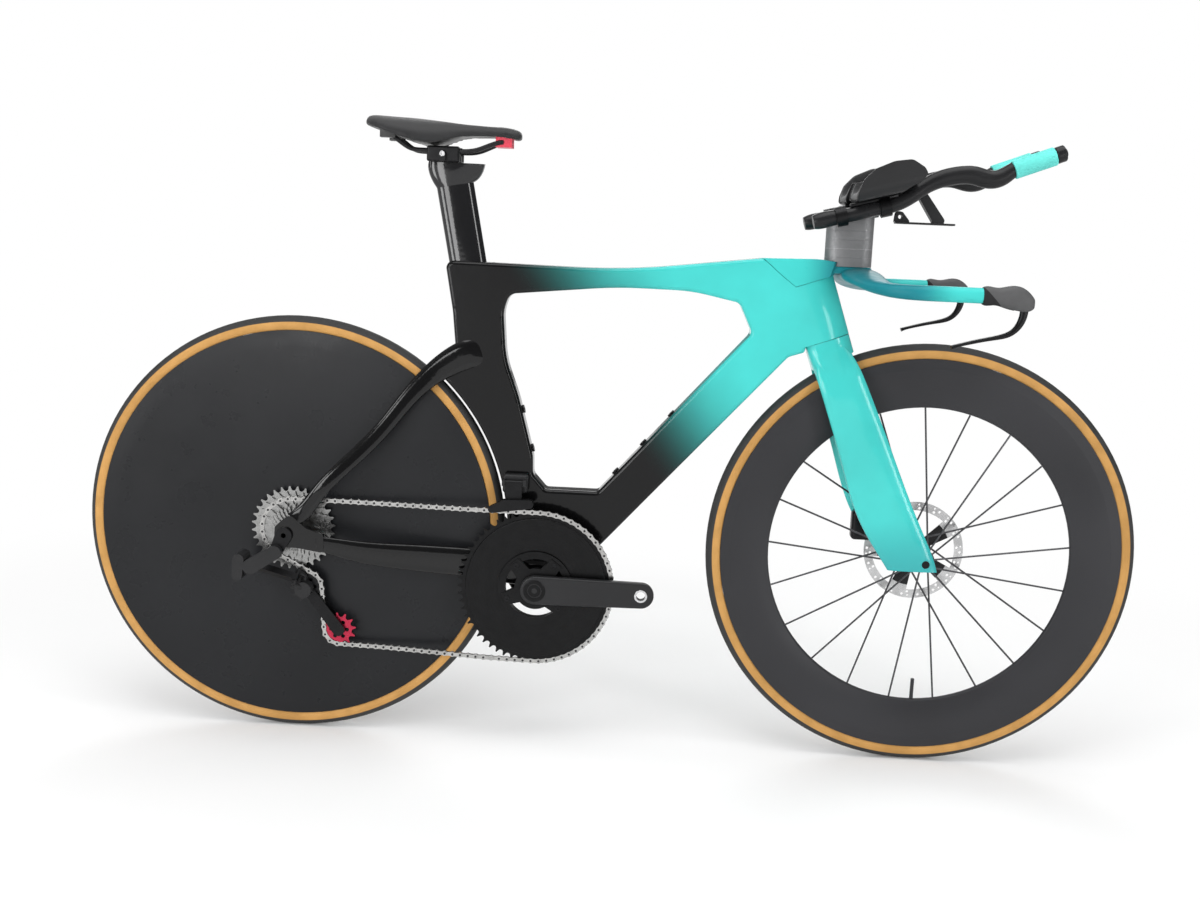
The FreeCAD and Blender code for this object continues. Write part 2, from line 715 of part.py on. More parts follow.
feature("main_frame", core)
feature("chain_stays", Part.makeCompound([left_chain_stay, right_chain_stay]))
feature("seat_stays", Part.makeCompound([seat_stay, mirrored(seat_stay)]))

bearing = num("steerer_radius") + 0.06
feature("headset_bearings", Part.makeCompound([
    tube(20.8, bearing, head(0, 0.3), head(0, 7.8)),
    tube(20.8, bearing, head(0, num("head_length") - 7.8), head(0, num("head_length") - 0.3)),
]))
cups = []
for side in (-1, 1):
    cups.append(tube(20.9, num("spindle_radius") + 0.06, bracket + Vec(0, side * (shell_half - 12), 0),
                     bracket + Vec(0, side * shell_half, 0)))
feature("bottom_bracket_bearings", Part.makeCompound(cups))

clamp_foot = seat(num("post_chord") / 2 + 8, -33)
clamp = cylinder(4.5, clamp_foot, seat(num("post_chord") / 2 + 8, -8.2))
clamp = clamp.cut(cylinder(2.0, seat(num("post_chord") / 2 + 8, -12), seat(num("post_chord") / 2 + 8, 0)))
feature("seatpost_clamp", clamp)

# Seat post, clamp and saddle.
rise = num("post_rise")
post = Part.Face(post_section(0, -88)).extrude(seat_up * (88 + rise - 12))
head_low = seat(0, rise - 12)
crest = seat(0, rise)
post_head = loft([
    oval(head_low, seat_out, UP_Y, num("post_chord"), num("post_width"), 2.2, 3.0),
    oval(crest + Vec(2, 0, 6), Vec(1, 0, 0), UP_Y, 82, num("post_width") + 2, 2.6, 3.0),
    oval(crest + Vec(4, 0, 22), Vec(1, 0, 0), UP_Y, 88, num("post_width") + 3, 3.0, 3.4),
])
rail_x = crest.x - 15
rail_z = crest.z + 39
bolt_spot = Vec(rail_x, 0, crest.z + 28)
lug = softblock(Vec(rail_x - 24, -9.5, crest.z + 10), Vec(rail_x + 26, 9.5, crest.z + 35), 4)
post = fused([post, post_head, lug]).cut(cylinder(4.1, bolt_spot + Vec(0, -40, 0), bolt_spot + Vec(0, 40, 0)))
feature("seatpost", post)

rail_curve = [(-82, 36, 21), (-62, 27, 9), (-48, 22.2, 1.4), (-36, 21.5, 0), (-24, 21.5, 0), (0, 21.5, 0),
              (26, 21.5, 0), (40, 21.4, 0.5), (54, 20, 3.5), (72, 17, 11), (92, 14, 16.5)]
rail_points = [Vec(rail_x + dx, y, rail_z + dz) for dx, y, dz in rail_curve]
rail = pipe(rail_points, 3.5)
feature("saddle_rails", Part.makeCompound([rail, mirrored(rail)]))
rail_room = cylinder(3.75, Vec(rail_x - 60, 21.5, rail_z), Vec(rail_x + 60, 21.5, rail_z))
ear = softblock(Vec(rail_x - 24, 9.8, rail_z - 16.6), Vec(rail_x + 26, 27.5, rail_z + 7), 3).cut(rail_room)
ear = ear.cut(cylinder(4.1, bolt_spot + Vec(0, 5, 0), bolt_spot + Vec(0, 40, 0)))
bolt = cylinder(3.9, bolt_spot + Vec(0, -29, 0), bolt_spot + Vec(0, 29, 0))
for side in (-1, 1):
    bolt = bolt.fuse(cylinder(6, bolt_spot + Vec(0, side * 27.7, 0), bolt_spot + Vec(0, side * 32, 0)))
feature("saddle_clamp", Part.makeCompound([ear, mirrored(ear), bolt]))

wide = num("saddle_half")
saddle_rows = [  # distance ahead of the clamp, half width, edge height, top height above the rails
    (-116, wide * 0.55, 35, 46), (-108, wide * 0.80, 31.5, 49.5), (-91, wide * 0.97, 26.5, 49),
    (-66, wide, 18, 48), (-41, wide * 0.97, 11, 47), (-17, wide * 0.82, 8.5, 45.5),
    (6, wide * 0.62, 14.5, 44), (28, wide * 0.47, 21.5, 42.5), (59, wide * 0.37, 24, 41.5),
    (89, wide * 0.32, 24, 39.5), (108, wide * 0.27, 21.5, 37), (119, wide * 0.15, 22.5, 32),
]


def dome(rows, trim, drop, foot, least=2.0):
    """Smooth cover through the rows, narrower by trim, lower by drop and reaching foot below the edge."""
    wires = []
    for dx, half, edge, top in rows:
        rise_here = max(top - drop - edge, least)
        points = []
        for i in range(24):
            turn = 2 * math.pi * i / 24
            c, s = math.cos(turn), math.sin(turn)
            y = math.copysign(abs(c) ** 0.87, c) * (half - trim)
            z = abs(s) ** 0.87 * rise_here if s > 0 else -abs(s) ** 0.5 * foot
            points.append(Vec(rail_x + dx, y, rail_z + edge + z))
        wires.append(smooth_loop(points))
    return loft(wires)


cover = dome(saddle_rows, 0, 0, 1.4)
padding = cover.cut(dome(saddle_rows[1:-1], 5, 14, 24, 2.6))
padding = max(padding.Solids, key=lambda solid: solid.Volume)
curtain = [Vec(rail_x + dx, -100, rail_z + edge + 0.4) for dx, half, edge, top in saddle_rows]
skirt = [(150, 22.5), (150, -60), (-150, -60), (-150, 35)]
curtain += [Vec(rail_x + dx, -100, rail_z + dz) for dx, dz in skirt] + curtain[:1]
curtain = Part.Face(Part.Wire(Part.makePolygon(curtain))).extrude(Vec(0, 200, 0))
shell = dome(saddle_rows[1:-1], 6.3, 15.2, 24).cut(curtain)
shell_room = block(Vec(rail_x - 107.4, -90, rail_z - 60), Vec(rail_x + 107.4, 90, rail_z + 90))
shell = shell.common(shell_room)
shell = hollowed(shell, dome(saddle_rows[2:-2], 9.6, 18.3, 28))
shell = max(shell.Solids, key=lambda solid: solid.Volume)
sockets = [((80, -15.5, 9), (105, 15.5, 25.6)), ((-93, 29, 15.5), (-70, 43, 30.2)),
           ((-93, -43, 15.5), (-70, -29, 30.2))]
rail_way = pipe(rail_points, 3.7)
blocks = []
for low, high in sockets:
    low = Vec(rail_x, 0, rail_z) + Vec(*low)
    high = Vec(rail_x, 0, rail_z) + Vec(*high)
    grown = Vec(0.4, 0.4, 0.4)
    blocks.append(block(low, high))
    padding = padding.cut(block(low - grown, high + grown))
shell = fused([shell] + blocks)
shell = shell.cut(rail_way).cut(mirrored(rail_way))
shell = max(shell.Solids, key=lambda solid: solid.Volume)
padding = max(padding.Solids, key=lambda solid: solid.Volume)
feature("saddle_padding", padding)
feature("saddle_shell", shell)

# Fork: crown with the head's own plan, two deep blades, steerer.
shoulder = loft([
    oval(head(-0.6, -0.6), steer_out, UP_Y, 70.5, head_half * 2, 2.2, 4.0),
    oval(head(-0.6, -12), steer_out, UP_Y, 70.5, head_half * 2 + 2.5, 2.2, 4.0),
    oval(head(-0.4, -30), steer_out, UP_Y, 70, 67, 2.3, 3.8),
    oval(head(0.4, -58), steer_out, UP_Y, 69, 87, 2.4, 3.6),
])
blade_rows = [(-0.5, -10, 20, 40, 12), (-0.5, -30, 26, 56, 13), (-0.4, -48, 32, 66, 16), (1, -72, 37.5, 70, 18),
              (3, -110, 41, 73, 16.5), (6, -176, 45, 78, 15), (11.5, -283, 51.5, 84, 13.5),
              (19.5, -330, 54.5, 79, 13), (26.5, -366, 56.3, 73, 12.4), (30, -395, 56.8, 66, 11.5)]
blade_wires = []
for u, s, y, deep, thin in blade_rows:
    blade_wires.append(oval(head(u, s, y), steer_out, UP_Y, deep, thin, 2.2, 3.2))
blade = loft(blade_wires)
front_gap = num("tyre_radius") + 7
front_room = cylinder(front_gap, front_axle + Vec(0, -20.5, 0), front_axle + Vec(0, 20.5, 0))
boss_in = num("front_width") / 2
boss = cylinder(11.5, front_axle + Vec(0, boss_in, 0), front_axle + Vec(0, boss_in + 9, 0))
steerer = cylinder(num("steerer_radius"), head(0, -12), head(0, num("head_length") + 26))
fork = fused([shoulder, blade, mirrored(blade), boss, mirrored(boss), steerer])
fork = fork.cut(cylinder(num("axle_radius") + 0.1, front_axle + Vec(0, -120, 0), front_axle + Vec(0, 120, 0)))
fork = fork.cut(front_room)
fork = fork.cut(block(front_axle + Vec(-160, -120, -90), front_axle + Vec(160, 120, -12)))
fork = fork.cut(cylinder(9.3, front_axle + Vec(0, 62.6, 0), front_axle + Vec(0, 80, 0)))
fork = max(fork.Solids, key=lambda solid: solid.Volume)
feature("fork", fork)

# One-piece stem and base bar.
stem_nose = [(0, head_half), (20, head_half), (45, head_half - 1), (70, head_half - 6), (84, 0)]
stem_plan = frame_plan[:-4] + stem_nose
stem_side = slab([
    off(crown, -118, 120.8), off(crown, -20, 123, 60), off(crown, 10, 119, 30), off(crown, 62, 117, 8),
    off(crown, 62, 92, 8), off(crown, 8, 97.6, 6), on_head(-36, num("head_length") + 0.6),
], -60, 60)
stem = stem_side.common(plan_prism(stem_plan, 60, 240)).common(seam_cone(0.6))
bar_half = num("bar_half")
bar_z = num("bar_height")
reach = num("bar_reach")
radius = num("bar_radius")
bar_rows = [
    (reach - 144, 0, bar_z + 17, 60, 24, 0), (reach - 145, 44, bar_z + 15.5, 62, 23, 2),
    (reach - 141, bar_half * 0.5, bar_z + 10, 56, 20, 10), (reach - 132, bar_half * 0.73, bar_z + 4, 46, 19.5, 20),
    (reach - 117, bar_half * 0.87, bar_z + 1, 34, 20.5, 42), (reach - 92, bar_half * 0.955, bar_z, 26, 21.5, 64),
    (reach - 60, bar_half * 0.993, bar_z, radius * 2, radius * 2, 82),
    (reach - 30, bar_half, bar_z, radius * 2, radius * 2, 90),
    (reach, bar_half, bar_z, radius * 2, radius * 2, 90),
]
bar_wires = []
for side in (-1, 1):
    for x, y, z, deep, thin, turn in (reversed(bar_rows[1:]) if side < 0 else bar_rows):
        turn = math.radians(turn)
        chord = Vec(math.cos(turn), -side * math.sin(turn), 0)
        bar_wires.append(oval(Vec(x, side * y, z), chord, UPWARD, deep, thin, 2.0, 2.2))
wing = loft(bar_wires)
seat_pad = softblock(Vec(reach - 199, -19, bar_z + 19), Vec(reach - 128, 19, bar_z + 29.8), 3)
steerer_room = cylinder(num("steerer_radius") + 0.05, head(0, 60), head(0, num("head_length") + 26.2))
base_bar = fused([wing, stem, seat_pad]).cut(steerer_room)
base_bar = max(base_bar.Solids, key=lambda solid: solid.Volume)
feature("base_bar", base_bar)

# Riser, bridge, extensions and arm rests.
riser_low = bar_z + 30
riser_x = reach - 163
step = num("riser_height") / 5
slope = math.radians(num("extension_slope"))
tilt = FreeCAD.Rotation(UP_Y, -num("extension_slope"))
bar_way = Vec(math.cos(slope), 0, math.sin(slope))
bar_up = Vec(-math.sin(slope), 0, math.cos(slope))
extension_y = num("extension_half")
clamp_mid = Vec(riser_x + 4, 0, riser_low + num("riser_height") + 13.5)
spacers = []
for i in range(5):
    low = riser_low + i * step
    high = low + step - 0.15 if i < 4 else low + step + 40
    section = oval(Vec(riser_x, 0, low), Vec(1, 0, 0), UP_Y, 72, 38, 3.6, 2.2)
    spacers.append(Part.Face(section).extrude(Vec(0, 0, high - low)))
for shift in (Vec(0, 0, 0.4), Vec(0.4, 0, 0.2), Vec(-0.4, 0, 0.2)):
    bar_room = base_bar.copy()
    bar_room.translate(shift)
    spacers[0] = max(spacers[0].cut(bar_room).Solids, key=lambda solid: solid.Volume)
top_cut = Part.makeBox(300, 300, 120)
top_cut.Placement = FreeCAD.Placement(clamp_mid - bar_up * 7.2 - bar_way * 150 + Vec(0, -150, 0), tilt)
spacers[-1] = spacers[-1].cut(top_cut)
feature("riser_spacers", Part.makeCompound(spacers))


def on_bar(a, c, y=0.0):
    """Point a along the extensions from the riser and c above their axis."""
    return clamp_mid + bar_way * a + bar_up * c + Vec(0, y, 0)


def tilted_box(a0, a1, y0, y1, c0, c1):
    shape = Part.makeBox(a1 - a0, y1 - y0, c1 - c0)
    shape.Placement = FreeCAD.Placement(on_bar(a0, c0, y0), tilt)
    return shape


bridge = [tilted_box(-34, 44, -47, 47, -7, 7)]
for a in (-28, 38):
    for side in (-1, 1):
        bridge.append(cylinder(15, on_bar(a - 8, 0, side * extension_y), on_bar(a + 8, 0, side * extension_y)))
bridge = fused(bridge)
for side in (-1, 1):
    bridge = bridge.cut(cylinder(11.5, on_bar(-90, 0, side * extension_y), on_bar(90, 0, side * extension_y)))
feature("arm_rest_bridge", bridge)

grip_way = Vec(math.cos(math.radians(21)), 0, math.sin(math.radians(21)))
straight = ((-70, 20), (-67, 22), (-30, 22), (10, 22), (34, 22), (48, 22))
path = [(on_bar(a, 0), bar_way, thick) for a, thick in straight]
bends = [(68, 22.5, 0.88, 0.47, 22.5), (88, 37.5, 0.82, 0.57, 23), (107, 49.5, 0.9, 0.44, 25),
         (130, 57.5, 0.96, 0.27, 26.5), (153, 61, 1, 0, 27), (176, 57.5, 0.98, -0.17, 27.5),
         (195, 56, 0.98, 0.15, 26.5), (209, 62, 0.85, 0.5, 25)]
for dx, dz, way_x, way_z, thick in bends:
    path.append((clamp_mid + Vec(dx, 0, dz), Vec(way_x, 0, way_z), thick))
path.append((clamp_mid + Vec(220, 0, 70), grip_way, 23.5))
tip = path[-1][0] + grip_way * 64
cap_end = tip + grip_way * 15
wires = []
for spot, way, thick in path:
    way = Vec(way).normalize()
    wires.append(oval(spot, Vec(-way.z, 0, way.x), UP_Y, thick, min(thick, 22.5), 2.0, 2.0, 20))
extension = loft(wires)
stub = cylinder(10.4, path[-1][0] - grip_way * 4, tip + grip_way * 3)
cap = cylinder(12.4, tip + grip_way * 0.3, cap_end)
cap = softened(cap, [cap.Edges[0], cap.Edges[2]], [2.5])
button_room = cylinder(6.6, cap_end - grip_way * 5, cap_end + grip_way * 10)
extension = fused([extension, stub, cap]).cut(button_room)
extension.translate(Vec(0, extension_y, 0))
feature("extension_bars", Part.makeCompound([extension, mirrored(extension)]))
grip = tube(13.8, 10.5, path[-1][0] + grip_way * 1.2, tip)
grip = softened(grip, [e for e in grip.Edges if e.Closed and abs(e.Curve.Radius - 13.8) < 0.1], [1.6])
grip.translate(Vec(0, extension_y, 0))
feature("extension_grips", Part.makeCompound([grip, mirrored(grip)]))
for label, side in (("left_shift_button", 1), ("right_shift_button", -1)):
    button = cylinder(6.3, cap_end - grip_way * 3.2, cap_end + grip_way * 2.6)
    button = softened(button, [button.Edges[0], button.Edges[2]], [1.2])
    button.translate(Vec(0, side * extension_y, 0))
    feature(label, button)

cup_corners = [(-8, 15.4, 6), (-2, 30, 8), (8, 45, 14), (27, 57, 20), (56, 62, 30), (82, 59, 14), (97, 44, 12),
               (100, 34, 5), (92, 27.5, 6), (61, 15.4, 16)]
cup_side = [(on_bar(a, c), r) for a, c, r in cup_corners]
cup_wall = slab([(p.x, p.z, r) for p, r in cup_side], -200, 200)


def tub(half, low, wall_high, inner_high):
    profile = [(-half, inner_high, 0), (-half, low, 18), (half, low, 18), (half, wall_high, 0)]
    wire = rounded([(y, c, r) for y, c, r in profile])
    face = Part.Face(wire)
    matrix = FreeCAD.Matrix()
    origin = on_bar(-60, 0, extension_y)
    matrix.A11, matrix.A12, matrix.A13, matrix.A14 = 0, bar_way.x, bar_up.x, origin.x
    matrix.A21, matrix.A22, matrix.A23, matrix.A24 = 1, bar_way.y, bar_up.y, origin.y
    matrix.A31, matrix.A32, matrix.A33, matrix.A34 = 0, bar_way.z, bar_up.z, origin.z
    return face.transformGeometry(matrix).extrude(bar_way * 170)


cup = tub(46, 15.4, 90, 44).cut(tub(42.5, 18.9, 120, 120)).common(cup_wall)
pad = tub(42.2, 19.2, 88, 42).cut(tub(34, 28, 120, 120)).common(cup_wall)
cup = max(cup.Solids, key=lambda solid: solid.Volume)
pad = max(pad.Solids, key=lambda solid: solid.Volume)
feature("arm_cups", Part.makeCompound([cup, mirrored(cup)]))
feature("arm_pads", Part.makeCompound([pad, mirrored(pad)]))

strut_top = clamp_mid + Vec(96, 0, 26)
plate_z = clamp_mid.z - 9
cross_half = Vec(0, extension_y - 11.6, 0)
cross_mid = strut_top + Vec(0, 0, 12)
cross = cylinder(5.5, cross_mid - cross_half, cross_mid + cross_half)
strut = slab([
    (strut_top.x - 8, strut_top.z + 14, 3), (strut_top.x + 8, strut_top.z + 14, 3),
    (strut_top.x + 42, plate_z + 4, 5), (strut_top.x + 40, plate_z - 4, 4), (strut_top.x + 26, plate_z - 3, 4),
], -8, 8)
tray = softblock(Vec(strut_top.x - 32, -11, plate_z - 4), Vec(strut_top.x + 58, 11, plate_z - 1), 1.2)
lug = slab([
    (strut_top.x - 34, plate_z - 3, 3), (strut_top.x - 32, plate_z + 16, 5), (strut_top.x - 22, plate_z + 14, 5),
    (strut_top.x - 8, plate_z - 3, 3),
], -6, 6)
lug_spot = Vec(strut_top.x - 25.5, 0, plate_z + 6.5)
lug_hole = cylinder(3.2, lug_spot + Vec(0, -20, 0), lug_spot + Vec(0, 20, 0))
feature("computer_mount", fused([cross, strut, tray, lug]).cut(lug_hole))

# Hoods and brake levers.
pivot = Vec(reach + 58, bar_half, bar_z - 12)
hood_rows = [(0.3, 0, 23, 23), (4, 0, 27, 25), (12, 0, 26.5, 24.5), (30, -1, 29, 25), (48, -2, 35, 26),
             (62, -5.5, 30, 24), (72, -8.5, 15, 15)]
wires = []
for dx, dz, tall, thin in hood_rows:
    wires.append(oval(Vec(reach + dx, bar_half, bar_z + dz), UPWARD, ACROSS, tall, thin, 2.6, 2.6))
hood = loft(wires)
slot_room = block(Vec(reach + 45, bar_half - 5.4, bar_z - 40), Vec(reach + 90, bar_half + 5.4, bar_z - 3))
pin = cylinder(2.6, pivot + Vec(0, -9, 0), pivot + Vec(0, 9, 0))
hood = fused([hood.cut(slot_room), pin])
hood = max(hood.Solids, key=lambda solid: solid.Volume)
feature("lever_hoods", Part.makeCompound([hood, mirrored(hood)]))
lever_rows = [((1, 3), (0.1, -1), 12, 9.6), ((2, -4), (0.06, -1), 12, 9.6), ((1, -16), (-0.1, -1), 11, 9.4),
              ((-5, -30), (-0.45, -1), 9.5, 9.6), ((-16, -40), (-1, -0.55), 8, 10.5),
              ((-34, -46), (-1, -0.25), 6.5, 11.5), ((-60, -52), (-1, -0.24), 5.5, 12),
              ((-84, -58.5), (-1, -0.3), 5, 12), ((-95, -62.5), (-1, -0.35), 6.5, 10)]
wires = []
for (dx, dz), way, thin, broad in lever_rows:
    way = Vec(way[0], 0, way[1]).normalize()
    wires.append(oval(pivot + Vec(dx, 0, dz), Vec(-way.z, 0, way.x), ACROSS, thin, broad, 2.4, 2.4, 16))
lever = loft(wires).fuse(cylinder(6.2, pivot + Vec(0, -4.9, 0), pivot + Vec(0, 4.9, 0)))
lever = lever.cut(cylinder(2.68, pivot + Vec(0, -20, 0), pivot + Vec(0, 20, 0)))
feature("left_brake_lever", max(lever.Solids, key=lambda solid: solid.Volume))
feature("right_brake_lever", mirrored(max(lever.Solids, key=lambda solid: solid.Volume)))


# Brakes: a caliper over each rotor, with a pad each side of it.
def brake(name, low, high, rotor_y, axle_spot, fixings, carrier):
    body_shape = softblock(low, high, 7)
    thick = num("rotor_thick")
    slot_low = axle_spot + Vec(0, rotor_y - 1.2, 0)
    slot_high = axle_spot + Vec(0, rotor_y + thick + 1.2, 0)
    body_shape = body_shape.cut(cylinder(num("rotor_radius") + 2.2, slot_low, slot_high))
    middle_spot = (low + high) * 0.5
    toward = (Vec(axle_spot.x, 0, axle_spot.z) - Vec(middle_spot.x, 0, middle_spot.z)).normalize()
    centre = Vec(axle_spot.x, 0, axle_spot.z) - toward * (num("rotor_radius") - 9)
    for side, label in ((-1, "inner"), (1, "outer")):
        face = rotor_y - 0.45 if side < 0 else rotor_y + thick + 0.45
        pad_shape = cylinder(8, Vec(centre.x, face, centre.z), Vec(centre.x, face + side * 4.5, centre.z))
        room = cylinder(8.25, Vec(centre.x, face - side * 1, centre.z), Vec(centre.x, face + side * 4.8, centre.z))
        body_shape = body_shape.cut(room)
        feature("%s_brake_%s_pad" % (name, label), pad_shape)
    for x, z in fixings:
        body_shape = body_shape.fuse(cylinder(3.6, Vec(x, high.y - 6, z), Vec(x, high.y + 1.5, z)))
    room = carrier.copy()
    room.translate(Vec(0, -0.4, 0))
    body_shape = body_shape.cut(room)
    feature("%s_brake_caliper" % name, max(body_shape.Solids, key=lambda solid: solid.Volume))


rotor_back = num("rotor_thick") / 2
brake("front", front_axle + Vec(-104, 26, 14), front_axle + Vec(-58, 49.2, 62), 38 - rotor_back, front_axle,
      [(front_axle.x - 96, front_axle.z + 24), (front_axle.x - 96, front_axle.z + 52)], fork)
brake("rear", rear_axle + Vec(52, 44, 10), rear_axle + Vec(98, 66, 46), 55.5 - rotor_back, rear_axle,
      [(rear_axle.x + 90, rear_axle.z + 18), (rear_axle.x + 90, rear_axle.z + 38)], left_chain_stay)


# Drive: toothed wheels and the chain that meshes with them.
chain_pitch = num("chain_pitch")
roller = num("roller_radius")


def pitch_radius(teeth):
    return chain_pitch / (2 * math.sin(math.pi / teeth))


def toothed(teeth, phase, tip=3.4):
    """Face of a sprocket about the origin in the side view, one gap at the phase angle."""
    base = pitch_radius(teeth)
    seat_radius = roller + 0.16
    edges = []
    share = 2 * math.pi / teeth

    def spot(radius, angle):
        return Vec(radius * math.cos(angle), 0, radius * math.sin(angle))

    for i in range(int(teeth)):
        angle = phase + i * share
        centre = spot(base, angle)
        first = centre + spot(seat_radius, angle + math.pi + 1.15)
        last = centre + spot(seat_radius, angle + math.pi - 1.15)
        low = centre + spot(seat_radius, angle + math.pi)
        crest_half = 0.9 / base
        next_angle = angle + share
        crest_one = spot(base + tip, angle + share / 2 - crest_half)
        crest_two = spot(base + tip, angle + share / 2 + crest_half)
        onward = spot(base, next_angle) + spot(seat_radius, next_angle + math.pi + 1.15)
        edges.append(Part.Arc(first, low, last).toShape())
        edges.append(Part.makeLine(last, crest_one))
        edges.append(Part.makeLine(crest_one, crest_two))
        edges.append(Part.makeLine(crest_two, onward))
    return Part.Face(Part.Wire(edges))


def sprocket(teeth, phase, centre, y, thick, hole, holes=0, hole_ring=0.0, hole_size=0.0, tip=3.4):
    shape = toothed(teeth, phase, tip).extrude(Vec(0, thick, 0))
    shape = shape.cut(cylinder(hole, Vec(0, -5, 0), Vec(0, 20, 0)))
    for i in range(holes):
        angle = 2 * math.pi * i / holes
        spot = Vec(hole_ring * math.cos(angle), -5, hole_ring * math.sin(angle))
        shape = shape.cut(cylinder(hole_size, spot, spot + Vec(0, 20, 0)))
    shape.translate(Vec(centre.x, y - thick / 2, centre.z))
    return shape


ring_teeth = num("ring_teeth")
cog_teeth = num("cog_teeth")
pulley_teeth = num("pulley_teeth")
ring_y = -num("ring_line")
COGS = [32, 28, cog_teeth, 21, 19, 17, 16, 15, 14, 13, 12, 11]
cog_y = -(num("cog_line") + 2 * num("cog_step"))
guide = rear_axle + Vec(24, 0, -94)


def tangent(first, second):
    """Straight run between two wheels (centre, radius, way round): +1 counter-clockwise, -1 clockwise."""
    (c1, r1, w1), (c2, r2, w2) = first, second
    gap = c2 - c1
    angle = math.atan2(gap.z, gap.x) - math.asin((w2 * r2 - w1 * r1) / gap.Length)
    normal = Vec(-math.sin(angle), 0, math.cos(angle))
    return c1 - normal * (w1 * r1), c2 - normal * (w2 * r2)


def chain_route(cage_angle):
    """Pieces of the chain's path, each with its length and a function of the distance along it."""
    tension = guide + Vec(math.cos(cage_angle), 0, math.sin(cage_angle)) * num("cage_length")
    wheels = [(bracket, pitch_radius(ring_teeth), -1, ring_y), (tension, pitch_radius(pulley_teeth), -1, cog_y),
              (guide, pitch_radius(pulley_teeth), 1, cog_y), (rear_axle, pitch_radius(cog_teeth), -1, cog_y)]
    runs = [tangent(wheels[i][:3], wheels[(i + 1) % 4][:3]) for i in range(4)]
    pieces = []
    for i in range(4):
        centre, radius, way, y = wheels[i]
        arrive = runs[i - 1][1] - centre
        leave = runs[i][0] - centre
        begin = math.atan2(arrive.z, arrive.x)
        sweep = (math.atan2(leave.z, leave.x) - begin) * way % (2 * math.pi)

        def around(d, centre=centre, radius=radius, way=way, begin=begin, y=y):
            angle = begin + way * d / radius
            return Vec(centre.x + radius * math.cos(angle), y, centre.z + radius * math.sin(angle))

        pieces.append((radius * sweep, around, i))
        start, end = runs[i]
        run = (end - start).Length
        y_to = wheels[(i + 1) % 4][3]

        def straight(d, start=start, end=end, run=run, y=y, y_to=y_to):
            share = min(max((d / run - 0.14) / 0.72, 0), 1)
            ease = share * share * (3 - 2 * share)
            spot = start + (end - start) * (d / run)
            return Vec(spot.x, y + (y_to - y) * ease, spot.z)

        pieces.append((run, straight, None))
    return pieces, tension


def walk(pieces, steps):
    """Roller centres one pitch apart along the route, and the overshoot after the given steps."""
    total = sum(piece[0] for piece in pieces)

    def at(distance):
        distance %= total
        for length, where, wheel in pieces:
            if distance <= length:
                return where(distance), wheel
            distance -= length
        return pieces[0][1](0), 0

    position = 4.0
    spots = []
    for _ in range(steps):
        here, wheel = at(position)
        spots.append((here, wheel))
        low, high = chain_pitch * 0.98, chain_pitch * 1.06
        for _ in range(36):
            middle = (low + high) / 2
            if (at(position + middle)[0] - here).Length < chain_pitch:
                low = middle
            else:
                high = middle
        position += (low + high) / 2
    return spots, position - 4.0 - total


rest_angle = math.radians(-51)
first_route = chain_route(rest_angle)[0]
links = int(round(sum(piece[0] for piece in first_route) / chain_pitch / 2)) * 2
low_angle, high_angle = rest_angle - 0.5, rest_angle + 0.5
low_sign = walk(chain_route(low_angle)[0], links)[1] > 0
for _ in range(30):
    cage_angle = (low_angle + high_angle) / 2
    if (walk(chain_route(cage_angle)[0], links)[1] > 0) == low_sign:
        low_angle = cage_angle
    else:
        high_angle = cage_angle
route, tension = chain_route(cage_angle)
rollers = walk(route, links)[0]
wheel_centres = [bracket, tension, guide, rear_axle]
phases = []
for wheel, centre in enumerate(wheel_centres):
    held = [spot for spot, owner in rollers if owner == wheel]
    spot = held[len(held) // 2] - centre
    phases.append(math.atan2(spot.z, spot.x))


def link_plate(low, thick):
    far = chain_pitch - 2.05
    arcs = [((2.05, 3.5), (-4.05, 0), (2.05, -3.5)), ((2.05, -3.5), (chain_pitch / 2, -2.9), (far, -3.5)),
            ((far, -3.5), (chain_pitch + 4.05, 0), (far, 3.5)), ((far, 3.5), (chain_pitch / 2, 2.9), (2.05, 3.5))]
    edges = [Part.Arc(*[Vec(x, low, z) for x, z in arc]).toShape() for arc in arcs]
    return Part.Face(Part.Wire(edges)).extrude(Vec(0, thick, 0))


ends = [Vec(0, 0, 0), Vec(chain_pitch, 0, 0)]
inner_link = [link_plate(1.1, 0.7), link_plate(-1.8, 0.7)]
inner_link = fused(inner_link + [cylinder(roller, e + Vec(0, -1.15, 0), e + Vec(0, 1.15, 0)) for e in ends])
for e in ends:
    inner_link = inner_link.cut(cylinder(1.85, e + Vec(0, -5, 0), e + Vec(0, 5, 0)))
outer_link = [link_plate(1.97, 0.55), link_plate(-2.52, 0.55)]
outer_link = fused(outer_link + [cylinder(1.75, e + Vec(0, -2.6, 0), e + Vec(0, 2.6, 0)) for e in ends])
chain_shapes = []
for i in range(links):
    here = rollers[i][0]
    onward = rollers[(i + 1) % links][0]
    way = (onward - here).normalize()
    up = way.cross(UP_Y).normalize()
    across = up.cross(way)
    turn = FreeCAD.Matrix(way.x, across.x, up.x, here.x, way.y, across.y, up.y, here.y,
                          way.z, across.z, up.z, here.z, 0, 0, 0, 1)
    piece = (inner_link if i % 2 == 0 else outer_link).copy()
    piece.Placement = FreeCAD.Placement(turn)
    chain_shapes.append(piece)
feature("chain", Part.makeCompound(chain_shapes))

